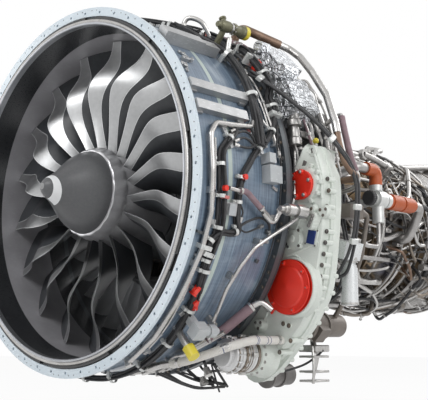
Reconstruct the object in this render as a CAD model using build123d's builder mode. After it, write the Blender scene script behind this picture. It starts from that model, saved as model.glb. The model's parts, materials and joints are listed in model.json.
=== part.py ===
from build123d import *
import math
import os

os.makedirs("parts", exist_ok=True)

# Axes: the shaft line is Y, the inlet faces -Y, +Z is up, +X is the gearbox side.
# The origin is the centre of the front face of the inlet flange. Sizes are in millimetres.

# Running fits and gaps
RUNNING_GAP = 0.1
SEAT_GAP = 0.3
TIP_GAP = 4.0

# Fan
BLADE_COUNT = 18
BLADE_PHASE = -5.5
FAN_TIP_R = 703.0
SPINNER_BASE_R = 181.0
SPINNER_BASE_Y = 93.0
SPINNER_LENGTH = 233.0
SPINNER_WALL = 5.0
HUB_RING_R = 192.0
HUB_RING_END = 150.0
HUB_REAR_R = 262.0
HUB_REAR_Y = 385.0

# Fan case and its rings
FLANGE_R = 790.0
FLANGE_THICK = 14.0
FLANGE_HOLES = 48
FLANGE_HOLE_R = 6.0
FLANGE_HOLE_CIRCLE = 768.0
FLANGE_FIRST_HOLE = 135.93
LIP_R = 712.0
LIP_PROUD = 14.0
CASE_R = 768.0
CASE_REAR_R = 759.0
CASE_TAPER_Y = 260.0
CASE_BORE_R = 741.0
CASE_END = 500.0
LINER_END = 128.0
RUB_END = 400.0
REAR_FLANGE_THICK = 25.0
EXIT_BORE_R = 712.0
EXIT_WALL = 16.0
EXIT_END = 860.0
CASE_BOLTS = 48

# Frame between the fan and the core
VANE_COUNT = 40
VANE_FRONT = 550.0
VANE_CHORD = 90.0
DUCT_INNER_R = 400.0
DUCT_WALL = 6.0
STRUT_COUNT = 8
STRUT_FRONT = 700.0
STRUT_CHORD = 130.0
STRUT_THICK = 40.0
SPLITTER_NOSE_Y = 470.0
SPLITTER_NOSE_R = 366.0
FRAME_HUB_R = 262.0
FRAME_HUB_BORE = 240.0
FRAME_HUB_END = 525.0

# Reduction gear: sun, five fixed stars, ring
GEAR_MODULE = 6.0
SUN_TEETH = 20
STAR_TEETH = 20
RING_TEETH = 60
STAR_COUNT = 5
PRESSURE_ANGLE = 20.0
BACKLASH = 0.9
GEAR_FRONT = 420.0
GEAR_WIDTH = 90.0
JOURNAL_R = 30.0
RING_RIM = 24.0
CARRIER_THICK = 24.0
FAN_SHAFT_R = 85.0
FAN_SHAFT_BORE = 66.0
FAN_BEARING_STATIONS = (318.0, 366.0)
BEARING_WIDTH = 22.0
BEARING_THICK = 20.0

# Low-pressure shaft and compressor
LP_SHAFT_START = 600.0
LP_SHAFT_R = 50.0
LP_SHAFT_BORE = 36.0
SUN_SHAFT_R = 38.0
LPC_FRONT = 535.0
LPC_END = 720.0
LPC_HUB_R = 268.0
LPC_CASE_R = 343.0
LPC_STAGES = 3
LPC_BLADES = 24
CASE_WALL = 9.0

# Intermediate case, high-pressure compressor
MID_END = 900.0
MID_STRUTS = 8
MOUNT_Y = 874.0
MOUNT_Z = 430.0
MOUNT_SPAN = 100.0
MOUNT_THICK = 24.0
MOUNT_BORE_R = 12.0
HPC_END = 1650.0
HPC_STAGES = 8
HPC_BLADES = 24
HPC_FRONT_R = 300.0
HPC_REAR_R = 240.0
HPC_HUB_FRONT_R = 205.0
HPC_HUB_REAR_R = 218.0
HP_BORE_R = 60.0
HP_SHAFT_R = 78.0

# Combustor and turbines
BURNER_END = 2000.0
BURNER_CASE_R = 385.0
NOZZLE_COUNT = 16
NOZZLE_Y = 1745.0
NOZZLE_R = 11.0
HPT_END = 2170.0
HPT_CASE_R = 372.0
HPT_TIP_R = 345.0
LPT_END = 2700.0
LPT_REAR_R = 442.0
LPT_STAGES = 3
LPT_BLADES = 30
EXHAUST_END = 3000.0
EXHAUST_REAR_R = 405.0
EXHAUST_HUB_R = 205.0
EXHAUST_STRUTS = 10
EXHAUST_STRUT_PHASE = 9.0
EXHAUST_STRUT_THICK = 20.0
EXHAUST_STRUT_CHORD = 80.0
EXHAUST_STRUT_START = 60.0
EXHAUST_WALL = 10.0
EXHAUST_LIP = 22.0
LUG_HALF = 60.0
EXHAUST_HOLES = 36
CONE_END = 3050.0

# Tower shaft from the high-pressure spool out to the gearbox
TOWER_ANGLE = -22.5
TOWER_Y = 785.0
TOWER_R = 11.0
TOWER_BORE_R = 14.0
TOWER_INNER_SEAT = 233.0
BEVEL_GEAR_R = 75.0
BEVEL_PINION_R = 35.0

# Rear mount
REAR_MOUNT_Y = 2850.0
REAR_MOUNT_Z = 490.0
REAR_MOUNT_R = 10.0
REAR_LUG_THICK = 36.0

# Accessory gearbox on the fan case
BOX_INNER_R = 736.0
BOX_OUTER_R = 940.0
BOX_FRONT = 660.0
BOX_SPLIT = 735.0
BOX_END = 805.0
BOX_TOP_ANGLE = -3.0
BOX_LOW_ANGLE = -66.0
BOX_TOP_LUG_R = 802.0
BOX_LINK_ANGLES = (-12.0, -55.0)
BOX_LINK_Y = 700.0
STARTER_ANGLE = -29.7
STARTER_CENTRE_R = 843.0
STARTER_COVER_R = 113.0
STARTER_FACE = 583.0
PAD_ANGLE = 0.0
PAD_CENTRE_R = 794.0
PAD_COVER_R = 62.0
PAD_FACE = 592.0
GENERATOR_ANGLE = -51.0
GENERATOR_CENTRE_R = 882.0
GENERATOR_R = 85.0
GENERATOR_FRONT = 365.0
COVER_THICK = 14.0

# Air valve beside the core
VALVE_X = 559.0
VALVE_Y = 1440.0
VALVE_Z = 70.0

# Tubes along the core: angle, first and last station, radius, diameter
CORE_RUNS = (
    (64, 1200, 1880, 452, 34),
    (84, 1180, 1840, 440, 26),
    (44, 1190, 1900, 446, 24),
    (30, 1180, 1860, 430, 20),
    (-28, 1200, 1880, 436, 26),
    (-46, 1180, 1900, 450, 30),
    (-62, 1190, 1850, 440, 22),
    (-80, 1200, 1880, 446, 32),
    (110, 1200, 1860, 440, 26),
    (150, 1180, 1880, 446, 30),
    (200, 1200, 1850, 440, 24),
    (240, 1190, 1900, 448, 30),
)

# Small pieces on the fan case: fittings by angle and station
SMALL_FITTINGS = ((-1.0, 236.0), (-34.0, 106.0), (-38.0, 140.0), (-5.0, 130.0))
FITTING_TOP_R = 792.0
ACTUATOR_R = 860.0
ACTUATOR_ANGLE = -44.0
ICE_VALVE_R = 884.0
ICE_VALVE_ANGLE = 52.0
CAPPED_END_R = 872.0
CAPPED_END_ANGLE = -49.0
CAPPED_END_Y = 158.0
FILTER_X = 805.0
FILTER_R = 38.0


def polar(radius, angle, y=0.0):
    """Point at a radius and an angle from +X towards +Z, at station y."""
    turn_angle = math.radians(angle)
    return Vector(radius * math.cos(turn_angle), y, radius * math.sin(turn_angle))


def station(y):
    """Plane across the shaft line at station y. Its normal points forward."""
    return Plane(origin=(0, y, 0), x_dir=(1, 0, 0), z_dir=(0, -1, 0))


def radial_plane(radius, angle, y):
    """Plane square to a radial line, with its x along +Y and its normal outward."""
    direction = polar(1.0, angle)
    return Plane(origin=polar(radius, angle, y), x_dir=(0, 1, 0), z_dir=direction)


def turned(points, mode=Mode.ADD):
    """Turn a closed outline of (radius, station) points about the shaft line."""
    with BuildSketch(Plane.XY) as outline:
        with BuildLine():
            Polyline(*points, close=True)
        make_face()
    revolve(outline.sketch, axis=Axis.Y, mode=mode)


def ring(inner, outer, start, end, mode=Mode.ADD):
    """A plain ring between two radii and two stations."""
    turned([(inner, start), (outer, start), (outer, end), (inner, end)], mode)


def export(piece, label):
    """Name a finished piece and write it."""
    piece.label = label
    export_step(piece, f"parts/{label}.step")


def pipe(points, diameter, bend=60.0):
    """A tube of straight runs and tangent arcs through the points."""
    corners = [Vector(*p) for p in points]
    radii = []
    for before, here, after in zip(corners, corners[1:], corners[2:]):
        turn_angle = math.radians((here - before).get_angle(after - here))
        room = 0.45 * min((here - before).length, (after - here).length)
        radii.append(min(bend, room / math.tan(turn_angle / 2)))
    with BuildLine() as route:
        if radii:
            FilletPolyline(*corners, radius=radii)
        else:
            Line(*corners)
    start = Plane(origin=route.line @ 0, z_dir=route.line % 0)
    with BuildSketch(start) as section:
        Circle(diameter / 2)
    sweep(section.sketch, path=route.line)


def can(radius, start, direction, length, mode=Mode.ADD):
    """A round body from a start point along a direction."""
    with BuildSketch(Plane(origin=start, z_dir=direction)) as section:
        Circle(radius)
    extrude(section.sketch, amount=length, mode=mode)


def stepped_can(start, direction, steps):
    """Round steps of (radius, length), one after another along a direction."""
    reach = 0.0
    axis_line = Vector(*direction).normalized()
    for radius, length in steps:
        can(radius, Vector(*start) + axis_line * reach, axis_line, length)
        reach += length


def block(centre_radius, angle, y, radial, across, along):
    """A block set on a radial line: its centre, then its three sizes."""
    plane = radial_plane(centre_radius - radial / 2, angle, y)
    with BuildSketch(plane) as section:
        Rectangle(along, across)
    extrude(section.sketch, amount=radial)


def spoked_disc(hub, tip, spokes, thick, start, width, lean=0.0):
    """A row of flat blades on a rim: hub radius, tip radius, count, blade thickness."""
    with BuildSketch(station(start)) as row:
        Circle(hub)
        Circle(hub - 14, mode=Mode.SUBTRACT)
        with PolarLocations((hub + tip) / 2 - 2, spokes, start_angle=lean):
            Rectangle(tip - hub + 4, thick)
    extrude(row.sketch, amount=-width)


def vane_row(hub, outer, spokes, thick, start, width):
    """A fixed row: outer ring, vanes and inner shroud."""
    with BuildSketch(station(start)) as row:
        Circle(outer)
        Circle(outer - 5, mode=Mode.SUBTRACT)
        with PolarLocations((hub + outer) / 2, spokes):
            Rectangle(outer - hub - 6, thick)
        Circle(hub + 8)
        Circle(hub + TIP_GAP, mode=Mode.SUBTRACT)
    extrude(row.sketch, amount=-width)


def case_seat(y):
    """Outer radius of the fan case and the exit case at station y."""
    if y < CASE_TAPER_Y:
        return CASE_R
    if y < CASE_END:
        return CASE_R + (CASE_REAR_R - CASE_R) * (y - CASE_TAPER_Y) / (CASE_END - CASE_TAPER_Y)
    if y < CASE_END + REAR_FLANGE_THICK + 12:
        return FLANGE_R
    return EXIT_BORE_R + EXIT_WALL


def case_box(angle, y, height, across, along):
    """Block that stands on the case at an angle and station."""
    seat = case_seat(y - along / 2) + SEAT_GAP
    block(seat + height / 2, angle, y, height, across, along)


def saddle(before, after, width=24.0):
    """Standoff from the case up into a tube, half-way along one run."""
    middle = (Vector(*before) + Vector(*after)) * 0.5
    reach = math.hypot(middle.X, middle.Z)
    seat = case_seat(middle.Y - width / 2) + SEAT_GAP
    angle = math.degrees(math.atan2(middle.Z, middle.X))
    block((seat + reach) / 2, angle, middle.Y, reach - seat, width, width)


def foot(radius, angle, y, size):
    """Round fitting that stands on the case and reaches up to a tube end."""
    seat = case_seat(y - size) + SEAT_GAP
    can(size, polar(seat, angle, y), polar(1, angle), radius + size - seat)


def tube_run(places, diameter, bend=60.0, saddles=()):
    """A tube through (radius, angle, station) places, with saddles under chosen runs."""
    points = [polar(*place) for place in places]
    pipe(points, diameter, bend)
    for run in saddles:
        saddle(points[run], points[run + 1])


def involute(angle):
    """Involute function of a pressure angle in radians."""
    return math.tan(angle) - angle


def gear_outline(teeth, tip, root, slack, centre=(0.0, 0.0), phase=90.0):
    """Closed outline of a gear with involute flanks, four points to a flank."""
    pitch = GEAR_MODULE * teeth / 2
    base = pitch * math.cos(math.radians(PRESSURE_ANGLE))
    half = math.pi / (2 * teeth) - slack / (4 * pitch) + involute(math.radians(PRESSURE_ANGLE))
    low = max(root, base)
    flank = []
    for step in range(4):
        radius = low + (tip - low) * step / 3
        flank.append((radius, half - involute(math.acos(base / radius))))
    if root < base - 0.5:
        flank.insert(0, (root, half))
    points = []
    for tooth in range(teeth):
        middle = math.radians(phase) + tooth * 2 * math.pi / teeth
        for radius, side in flank:
            points.append((radius, middle - side))
        for radius, side in reversed(flank):
            points.append((radius, middle + side))
    return [(centre[0] + r * math.cos(a), centre[1] + r * math.sin(a)) for r, a in points]


def gear_face(points, mode=Mode.ADD):
    """Filled face of a gear outline, for the active sketch."""
    with BuildLine() as outline:
        Polyline(*points, close=True)
    make_face(outline.edges(), mode=mode)


# Spinner: a blunt cone that swells towards the fan hub
with BuildPart() as spinner:
    tip_y = SPINNER_BASE_Y - SPINNER_LENGTH
    with BuildSketch(Plane.XY):
        with BuildLine():
            outer = Spline(
                (0, tip_y),
                (62, tip_y + 62),
                (130, tip_y + 145),
                (SPINNER_BASE_R, SPINNER_BASE_Y),
                tangents=[(1, 0.25), (0.25, 1)],
            )
            inner = Spline(
                (SPINNER_BASE_R - SPINNER_WALL, SPINNER_BASE_Y),
                (130 - SPINNER_WALL, tip_y + 145 + SPINNER_WALL),
                (62 - SPINNER_WALL, tip_y + 62 + SPINNER_WALL),
                (0, tip_y + 2.5 * SPINNER_WALL),
                tangents=[(-0.25, -1), (-1, -0.25)],
            )
            Line(outer @ 1, inner @ 0)
            Line(inner @ 1, outer @ 0)
        make_face()
    revolve(axis=Axis.Y)
export(spinner.part, "spinner")

# Fan hub: polished front ring, blade platforms, disc and bore
hub_line = [
    (SPINNER_BASE_R, SPINNER_BASE_Y + SEAT_GAP),
    (HUB_RING_R, HUB_RING_END),
    (HUB_REAR_R, HUB_REAR_Y),
]
with BuildPart() as fan_hub:
    turned(hub_line + [
        (HUB_REAR_R - 14, HUB_REAR_Y),
        (HUB_RING_R + 4, 310),
        (FAN_SHAFT_R + 8, 300),
        (FAN_SHAFT_R + 8, 225),
        (HUB_RING_R - 40, 215),
        (HUB_RING_R - 26, HUB_RING_END),
        (SPINNER_BASE_R - 14, SPINNER_BASE_Y + SEAT_GAP),
    ])
export(fan_hub.part, "fan_hub")

# Fan blade: wide-chord sections, swept and twisted, stacked outwards.
# Each row: radius, leading-edge station, leading-edge angle, chord, stagger, camber, thickness
BLADE_ROWS = (
    (172, 163, 13.5, 206, 8, 24, 20),
    (254, 157, 19.0, 222, 18, 22, 16),
    (366, 137, 20.3, 250, 34, 17, 12),
    (479, 124, 17.3, 268, 47, 12, 9),
    (589, 189, 13.5, 276, 57, 9, 7),
    (716, 206, 12.0, 280, 62, 7, 6),
)


def blade_section(row):
    """One aerofoil: cambered faces, sharp leading and trailing edges."""
    radius, lead_y, lead_angle, chord, stagger, camber, thick = row
    lead_x = radius * math.tan(math.radians(-lead_angle))
    plane = Plane(origin=(0, 0, radius), x_dir=(1, 0, 0), z_dir=(0, 0, 1))
    turn_angle = math.radians(90 - stagger)
    along = Vector(math.cos(turn_angle), math.sin(turn_angle))
    across = Vector(-along.Y, along.X)
    lead = Vector(lead_x, lead_y)
    trail = lead + along * chord
    with BuildSketch(plane) as section:
        with BuildLine():
            Spline(lead, lead + along * chord * 0.45 - across * (camber + thick / 2), trail)
            Spline(trail, lead + along * chord * 0.45 - across * (camber - thick / 2), lead)
        make_face()
    return section.sketch


with BuildPart() as fan_blades:
    with BuildPart(mode=Mode.PRIVATE) as blade:
        for row in BLADE_ROWS:
            add(blade_section(row))
        loft()
    with BuildPart(mode=Mode.PRIVATE) as blade_room:
        turned([hub_line[1], (HUB_REAR_R, HUB_REAR_Y), (FAN_TIP_R, HUB_REAR_Y + 20), (FAN_TIP_R, 60)])
    one_blade = blade.part & blade_room.part
    for index in range(BLADE_COUNT):
        add(one_blade.rotate(Axis.Y, BLADE_PHASE + index * 360 / BLADE_COUNT))
export(fan_blades.part, "fan_blades")

# Fan shaft: bore for the bearings, forward disc seat, rear flare to the ring gear
ring_root_r = GEAR_MODULE * RING_TEETH / 2 + 1.25 * GEAR_MODULE
ring_outer_r = ring_root_r + RING_RIM
gear_end = GEAR_FRONT + GEAR_WIDTH
with BuildPart() as fan_shaft:
    turned([
        (FAN_SHAFT_BORE, 225),
        (FAN_SHAFT_R + 8, 225),
        (FAN_SHAFT_R + 8, 300),
        (FAN_SHAFT_R, 304),
        (FAN_SHAFT_R, 392),
        (120, GEAR_FRONT - 14),
        (ring_outer_r, GEAR_FRONT - 14),
        (ring_outer_r, GEAR_FRONT),
        (ring_outer_r - 34, GEAR_FRONT),
        (ring_outer_r - 34, GEAR_FRONT - 6),
        (FAN_SHAFT_BORE, GEAR_FRONT - 6),
    ])
export(fan_shaft.part, "fan_shaft")

# Ring gear: internal teeth, turns with the fan
pitch_ring = GEAR_MODULE * RING_TEETH / 2
with BuildPart() as ring_gear:
    with BuildSketch(station(GEAR_FRONT)):
        Circle(ring_outer_r)
        spaces = gear_outline(
            RING_TEETH, ring_root_r, pitch_ring - GEAR_MODULE, -BACKLASH, phase=90 + 180 / RING_TEETH
        )
        gear_face(spaces, Mode.SUBTRACT)
    extrude(amount=-GEAR_WIDTH)
export(ring_gear.part, "ring_gear")

# Sun gear on its quill, which drives the stars
pitch_sun = GEAR_MODULE * SUN_TEETH / 2
gear_tip = pitch_sun + GEAR_MODULE
gear_root = pitch_sun - 1.25 * GEAR_MODULE
with BuildPart() as sun_gear:
    with BuildSketch(station(GEAR_FRONT)):
        gear_face(gear_outline(SUN_TEETH, gear_tip, gear_root, BACKLASH))
    extrude(amount=-GEAR_WIDTH)
    ring(0.0, SUN_SHAFT_R, gear_end, LP_SHAFT_START)
export(sun_gear.part, "sun_gear")

# Star gears: each turns on a fixed journal of the carrier
star_circle = pitch_sun + GEAR_MODULE * STAR_TEETH / 2
for index in range(STAR_COUNT):
    star_angle = 90 + index * 360 / STAR_COUNT
    middle = polar(star_circle, star_angle)
    with BuildPart() as star_gear:
        with BuildSketch(station(GEAR_FRONT)):
            half_tooth = 180 / STAR_TEETH
            gear_face(gear_outline(
                STAR_TEETH, gear_tip, gear_root, BACKLASH,
                centre=(middle.X, middle.Z), phase=star_angle + half_tooth,
            ))
            with Locations((middle.X, middle.Z)):
                Circle(JOURNAL_R + RUNNING_GAP, mode=Mode.SUBTRACT)
        extrude(amount=-GEAR_WIDTH)
    export(star_gear.part, f"star_gear_{index + 1}")

# Gear carrier: fixed plate with five journals, bolted to the frame hub
carrier_front = gear_end + 5
carrier_end = carrier_front + CARRIER_THICK
with BuildPart() as gear_carrier:
    ring(SUN_SHAFT_R + 12, FRAME_HUB_BORE - SEAT_GAP, carrier_front, carrier_end)
    with BuildSketch(station(GEAR_FRONT - 2)) as journals:
        with PolarLocations(star_circle, STAR_COUNT, start_angle=90):
            Circle(JOURNAL_R)
    extrude(journals.sketch, amount=-(carrier_front - GEAR_FRONT + 4))
    with BuildSketch(station(gear_end + 1)) as collars:
        with PolarLocations(star_circle, STAR_COUNT, start_angle=90):
            Circle(JOURNAL_R + 8)
    extrude(collars.sketch, amount=-6)
export(gear_carrier.part, "gear_carrier")

bearing_outer_r = FAN_SHAFT_R + BEARING_THICK

# Fan frame: splitter, inner duct wall, core inlet and bypass struts, hub and bearing cone
with BuildPart() as fan_frame:
    turned([
        (SPLITTER_NOSE_R, SPLITTER_NOSE_Y),
        (DUCT_INNER_R - 8, SPLITTER_NOSE_Y + 40),
        (DUCT_INNER_R, SPLITTER_NOSE_Y + 75),
        (DUCT_INNER_R, EXIT_END),
        (DUCT_INNER_R - DUCT_WALL, EXIT_END),
        (DUCT_INNER_R - DUCT_WALL, SPLITTER_NOSE_Y + 75),
        (LPC_CASE_R + CASE_WALL + 10, LPC_FRONT),
        (LPC_CASE_R, LPC_FRONT),
        (LPC_CASE_R + 6, SPLITTER_NOSE_Y + 25),
    ])
    turned([
        (FRAME_HUB_R, HUB_REAR_Y + 8),
        (FRAME_HUB_R, FRAME_HUB_END),
        (FRAME_HUB_BORE, carrier_end),
        (FRAME_HUB_BORE, HUB_REAR_Y + 19),
        (bearing_outer_r + 12, 366),
        (bearing_outer_r + 12, 394),
        (bearing_outer_r, 394),
        (bearing_outer_r, 312),
        (bearing_outer_r + 12, 312),
        (bearing_outer_r + 12, 352),
        (FRAME_HUB_BORE + 10, HUB_REAR_Y + 8),
    ])
    with BuildSketch(station(SPLITTER_NOSE_Y + 22)) as inlet_struts:
        with PolarLocations((FRAME_HUB_R + LPC_CASE_R) / 2 + 2, STRUT_COUNT, start_angle=22.5):
            Rectangle(LPC_CASE_R - FRAME_HUB_R + 12, 12)
    extrude(inlet_struts.sketch, amount=-(FRAME_HUB_END - SPLITTER_NOSE_Y - 24))
    with BuildPart(mode=Mode.PRIVATE) as strut:
        with BuildSketch(Plane(origin=(0, 0, DUCT_INNER_R - 20), x_dir=(1, 0, 0), z_dir=(0, 0, 1))):
            with Locations((0, STRUT_FRONT + STRUT_CHORD / 2)):
                SlotOverall(STRUT_CHORD, STRUT_THICK, rotation=90)
        extrude(amount=EXIT_BORE_R - DUCT_INNER_R + 40)
    with BuildPart(mode=Mode.PRIVATE) as strut_room:
        ring(DUCT_INNER_R - 2, EXIT_BORE_R - SEAT_GAP, STRUT_FRONT - 20, STRUT_FRONT + STRUT_CHORD + 20)
    one_strut = strut.part & strut_room.part
    for index in range(STRUT_COUNT):
        add(one_strut.rotate(Axis.Y, 22.5 + index * 360 / STRUT_COUNT))
    can(TOWER_BORE_R, polar(DUCT_INNER_R - 40, TOWER_ANGLE, TOWER_Y), polar(1, TOWER_ANGLE),
        EXIT_BORE_R - DUCT_INNER_R + 60, Mode.SUBTRACT)
export(fan_frame.part, "fan_frame")

# Outlet guide vanes across the bypass duct
with BuildPart() as outlet_guide_vanes:
    with BuildPart(mode=Mode.PRIVATE) as vane:
        with BuildSketch(Plane(origin=(0, 0, DUCT_INNER_R - 20), x_dir=(1, 0, 0), z_dir=(0, 0, 1))):
            with BuildLine():
                Spline((14, VANE_FRONT), (-6, VANE_FRONT + VANE_CHORD * 0.45), (-8, VANE_FRONT + VANE_CHORD))
                Spline((-8, VANE_FRONT + VANE_CHORD), (2, VANE_FRONT + VANE_CHORD * 0.4), (14, VANE_FRONT))
            make_face()
        extrude(amount=EXIT_BORE_R - DUCT_INNER_R + 40)
    with BuildPart(mode=Mode.PRIVATE) as duct_room:
        ring(DUCT_INNER_R + 0.05, EXIT_BORE_R - 0.05, VANE_FRONT - 20, VANE_FRONT + VANE_CHORD + 20)
    one_vane = vane.part & duct_room.part
    for index in range(VANE_COUNT):
        add(one_vane.rotate(Axis.Y, index * 360 / VANE_COUNT))
export(outlet_guide_vanes.part, "outlet_guide_vanes")

# Inlet flange: painted ring with its bolt circle
with BuildPart() as inlet_flange:
    ring(CASE_BORE_R + 11, FLANGE_R, 0, FLANGE_THICK)
    with BuildSketch(station(0)) as bolt_circle:
        with PolarLocations(FLANGE_HOLE_CIRCLE, FLANGE_HOLES, start_angle=FLANGE_FIRST_HOLE):
            Circle(FLANGE_HOLE_R)
    extrude(bolt_circle.sketch, amount=-FLANGE_THICK, mode=Mode.SUBTRACT)
export(inlet_flange.part, "inlet_flange")

# Seal ring: segmented ring inside the flange, with its notches
with BuildPart() as seal_ring:
    ring(LIP_R + 12, CASE_BORE_R + 7, -4, FLANGE_THICK)
    with BuildSketch(station(-4)) as notches:
        with PolarLocations(CASE_BORE_R - 1, 10, start_angle=8):
            Rectangle(16, 70)
    extrude(notches.sketch, amount=-10, mode=Mode.SUBTRACT)
export(seal_ring.part, "seal_ring")

# Inlet lip: thin bright ring that stands proud of the flange
with BuildPart() as inlet_lip:
    turned([
        (LIP_R, -LIP_PROUD + 3),
        (LIP_R + 3, -LIP_PROUD),
        (LIP_R + 9, -LIP_PROUD),
        (LIP_R + 11.7, -LIP_PROUD + 4),
        (LIP_R + 11.7, FLANGE_THICK),
        (LIP_R, FLANGE_THICK),
    ])
export(inlet_lip.part, "inlet_lip")

# Acoustic liners ahead of and behind the fan, and the rub strip between them
fan_bore_r = FAN_TIP_R + TIP_GAP
with BuildPart() as case_liners:
    turned([
        (LIP_R, FLANGE_THICK + SEAT_GAP),
        (CASE_BORE_R - SEAT_GAP, FLANGE_THICK + SEAT_GAP),
        (CASE_BORE_R - SEAT_GAP, LINER_END),
        (fan_bore_r, LINER_END),
    ])
    turned([
        (fan_bore_r, RUB_END),
        (CASE_BORE_R - SEAT_GAP, RUB_END),
        (CASE_BORE_R - SEAT_GAP, CASE_END),
        (EXIT_BORE_R, CASE_END),
    ])
export(case_liners.part, "case_liners")
with BuildPart() as rub_strip:
    ring(fan_bore_r, CASE_BORE_R - SEAT_GAP, LINER_END, RUB_END)
export(rub_strip.part, "rub_strip")

# Composite fan case
with BuildPart() as fan_case:
    turned([
        (CASE_BORE_R, FLANGE_THICK),
        (CASE_R, FLANGE_THICK),
        (CASE_R, CASE_TAPER_Y),
        (CASE_REAR_R, CASE_END),
        (CASE_BORE_R, CASE_END),
    ])
export(fan_case.part, "fan_case")

# Rear flange of the fan case, with its bolts
exit_front = CASE_END + REAR_FLANGE_THICK
with BuildPart() as rear_flange:
    ring(EXIT_BORE_R, FLANGE_R, CASE_END, exit_front)
    with BuildSketch(station(CASE_END)) as heads:
        with PolarLocations(FLANGE_R - 12, CASE_BOLTS):
            RegularPolygon(8, 6)
    extrude(heads.sketch, amount=8)
export(rear_flange.part, "rear_flange")

# Fan exit case: outer wall of the bypass duct, with the links that carry the gearbox
with BuildPart() as fan_exit_case:
    exit_wall_r = EXIT_BORE_R + EXIT_WALL
    turned([
        (EXIT_BORE_R, exit_front),
        (FLANGE_R, exit_front),
        (FLANGE_R, exit_front + 12),
        (exit_wall_r, exit_front + 14),
        (exit_wall_r, EXIT_END - 12),
        (exit_wall_r + 22, EXIT_END - 12),
        (exit_wall_r + 22, EXIT_END),
        (EXIT_BORE_R, EXIT_END),
    ])
    for angle in BOX_LINK_ANGLES:
        block((exit_wall_r + BOX_INNER_R) / 2 - 2, angle, BOX_LINK_Y, BOX_INNER_R - exit_wall_r + 2, 60, 60)
    can(TOWER_BORE_R, polar(EXIT_BORE_R - 10, TOWER_ANGLE, TOWER_Y), polar(1, TOWER_ANGLE), 50, Mode.SUBTRACT)
export(fan_exit_case.part, "fan_exit_case")

# Low-pressure compressor: case, fixed vanes, rotor drum with three bladed rims
lpc_pitch = (LPC_END - LPC_FRONT) / (2 * LPC_STAGES)
with BuildPart() as lpc_case:
    ring(LPC_CASE_R, LPC_CASE_R + CASE_WALL, LPC_FRONT, LPC_END)
    ring(LPC_CASE_R, LPC_CASE_R + CASE_WALL + 14, LPC_END - 10, LPC_END)
    for stage in range(LPC_STAGES):
        front = LPC_FRONT + (2 * stage + 1) * lpc_pitch + 4
        vane_row(LPC_HUB_R, LPC_CASE_R + 1, LPC_BLADES, 4, front, lpc_pitch - 8)
export(lpc_case.part, "lpc_case")
with BuildPart() as lpc_rotor:
    ring(LPC_HUB_R - 12, LPC_HUB_R, LPC_FRONT + 2, LPC_END - 5)
    ring(LP_SHAFT_R, LPC_HUB_R - 2, LPC_END - 45, LPC_END - 30)
    ring(LP_SHAFT_R, LP_SHAFT_R + 14, LPC_END - 60, LPC_END - 15)
    for stage in range(LPC_STAGES):
        front = LPC_FRONT + 2 * stage * lpc_pitch + 4
        spoked_disc(LPC_HUB_R, LPC_CASE_R - TIP_GAP, LPC_BLADES, 5, front, lpc_pitch - 8)
export(lpc_rotor.part, "lpc_rotor")

# Low-pressure shaft, from the sun gear quill to the last turbine bearing
shaft_end = EXHAUST_END - 160
with BuildPart() as lp_shaft:
    ring(LP_SHAFT_BORE, LP_SHAFT_R, LP_SHAFT_START, shaft_end)
    ring(LP_SHAFT_BORE - 30, LP_SHAFT_R, LP_SHAFT_START, LP_SHAFT_START + 20)
export(lp_shaft.part, "lp_shaft")

# Intermediate case: struts, bearing seats, rear mount ring and front mount lugs
with BuildPart() as intermediate_case:
    turned([
        (LPC_CASE_R, LPC_END),
        (LPC_CASE_R + 23, LPC_END),
        (LPC_CASE_R + 23, LPC_END + 10),
        (LPC_CASE_R + CASE_WALL, LPC_END + 12),
        (HPC_FRONT_R + CASE_WALL + 8, EXIT_END - 24),
        (DUCT_INNER_R - DUCT_WALL, EXIT_END - 22),
        (DUCT_INNER_R - DUCT_WALL, EXIT_END - 10),
        (HPC_FRONT_R + CASE_WALL + 6, EXIT_END - 8),
        (HPC_FRONT_R + CASE_WALL, MID_END - 10),
        (HPC_FRONT_R + CASE_WALL + 18, MID_END - 10),
        (HPC_FRONT_R + CASE_WALL + 18, MID_END),
        (HPC_FRONT_R, MID_END),
    ])
    turned([
        (LPC_HUB_R, LPC_END),
        (HPC_HUB_FRONT_R, MID_END - 6),
        (HPC_HUB_FRONT_R - 12, MID_END - 6),
        (LPC_HUB_R - 14, LPC_END),
    ])
    with BuildSketch(station(LPC_END + 10)) as mid_struts:
        with PolarLocations((LPC_HUB_R + LPC_CASE_R) / 2 - 14, MID_STRUTS, start_angle=22.5):
            Rectangle(LPC_CASE_R - LPC_HUB_R + 10, 34)
    extrude(mid_struts.sketch, amount=-90)
    turned([
        (LP_SHAFT_R + BEARING_THICK, LPC_END + 6),
        (LPC_HUB_R - 14, LPC_END + 6),
        (LPC_HUB_R - 14, LPC_END + 16),
        (LP_SHAFT_R + BEARING_THICK + 10, LPC_END + 16),
        (LP_SHAFT_R + BEARING_THICK + 10, LPC_END + 22),
        (LP_SHAFT_R + BEARING_THICK, LPC_END + 22),
    ])
    turned([
        (HP_SHAFT_R + BEARING_THICK, MID_END - 45),
        (HP_SHAFT_R + BEARING_THICK + 10, MID_END - 45),
        (HP_SHAFT_R + BEARING_THICK + 10, MID_END - 35),
        (HPC_HUB_FRONT_R - 4, MID_END - 22),
        (HPC_HUB_FRONT_R - 4, MID_END - 12),
        (HP_SHAFT_R + BEARING_THICK, MID_END - 20),
    ])
    can(TOWER_BORE_R, polar(LP_SHAFT_R + 80, TOWER_ANGLE, TOWER_Y), polar(1, TOWER_ANGLE), 400, Mode.SUBTRACT)
    with BuildSketch(station(MOUNT_Y - MOUNT_THICK / 2)) as mount_plate:
        for side in (-1, 1):
            with Locations((side * MOUNT_SPAN / 2, MOUNT_Z)):
                Circle(MOUNT_BORE_R + 16)
            with Locations((side * 60, HPC_FRONT_R + 4)):
                Circle(8)
        make_hull()
        with Locations((-MOUNT_SPAN / 2, MOUNT_Z), (MOUNT_SPAN / 2, MOUNT_Z)):
            Circle(MOUNT_BORE_R, mode=Mode.SUBTRACT)
    extrude(mount_plate.sketch, amount=-MOUNT_THICK)
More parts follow.
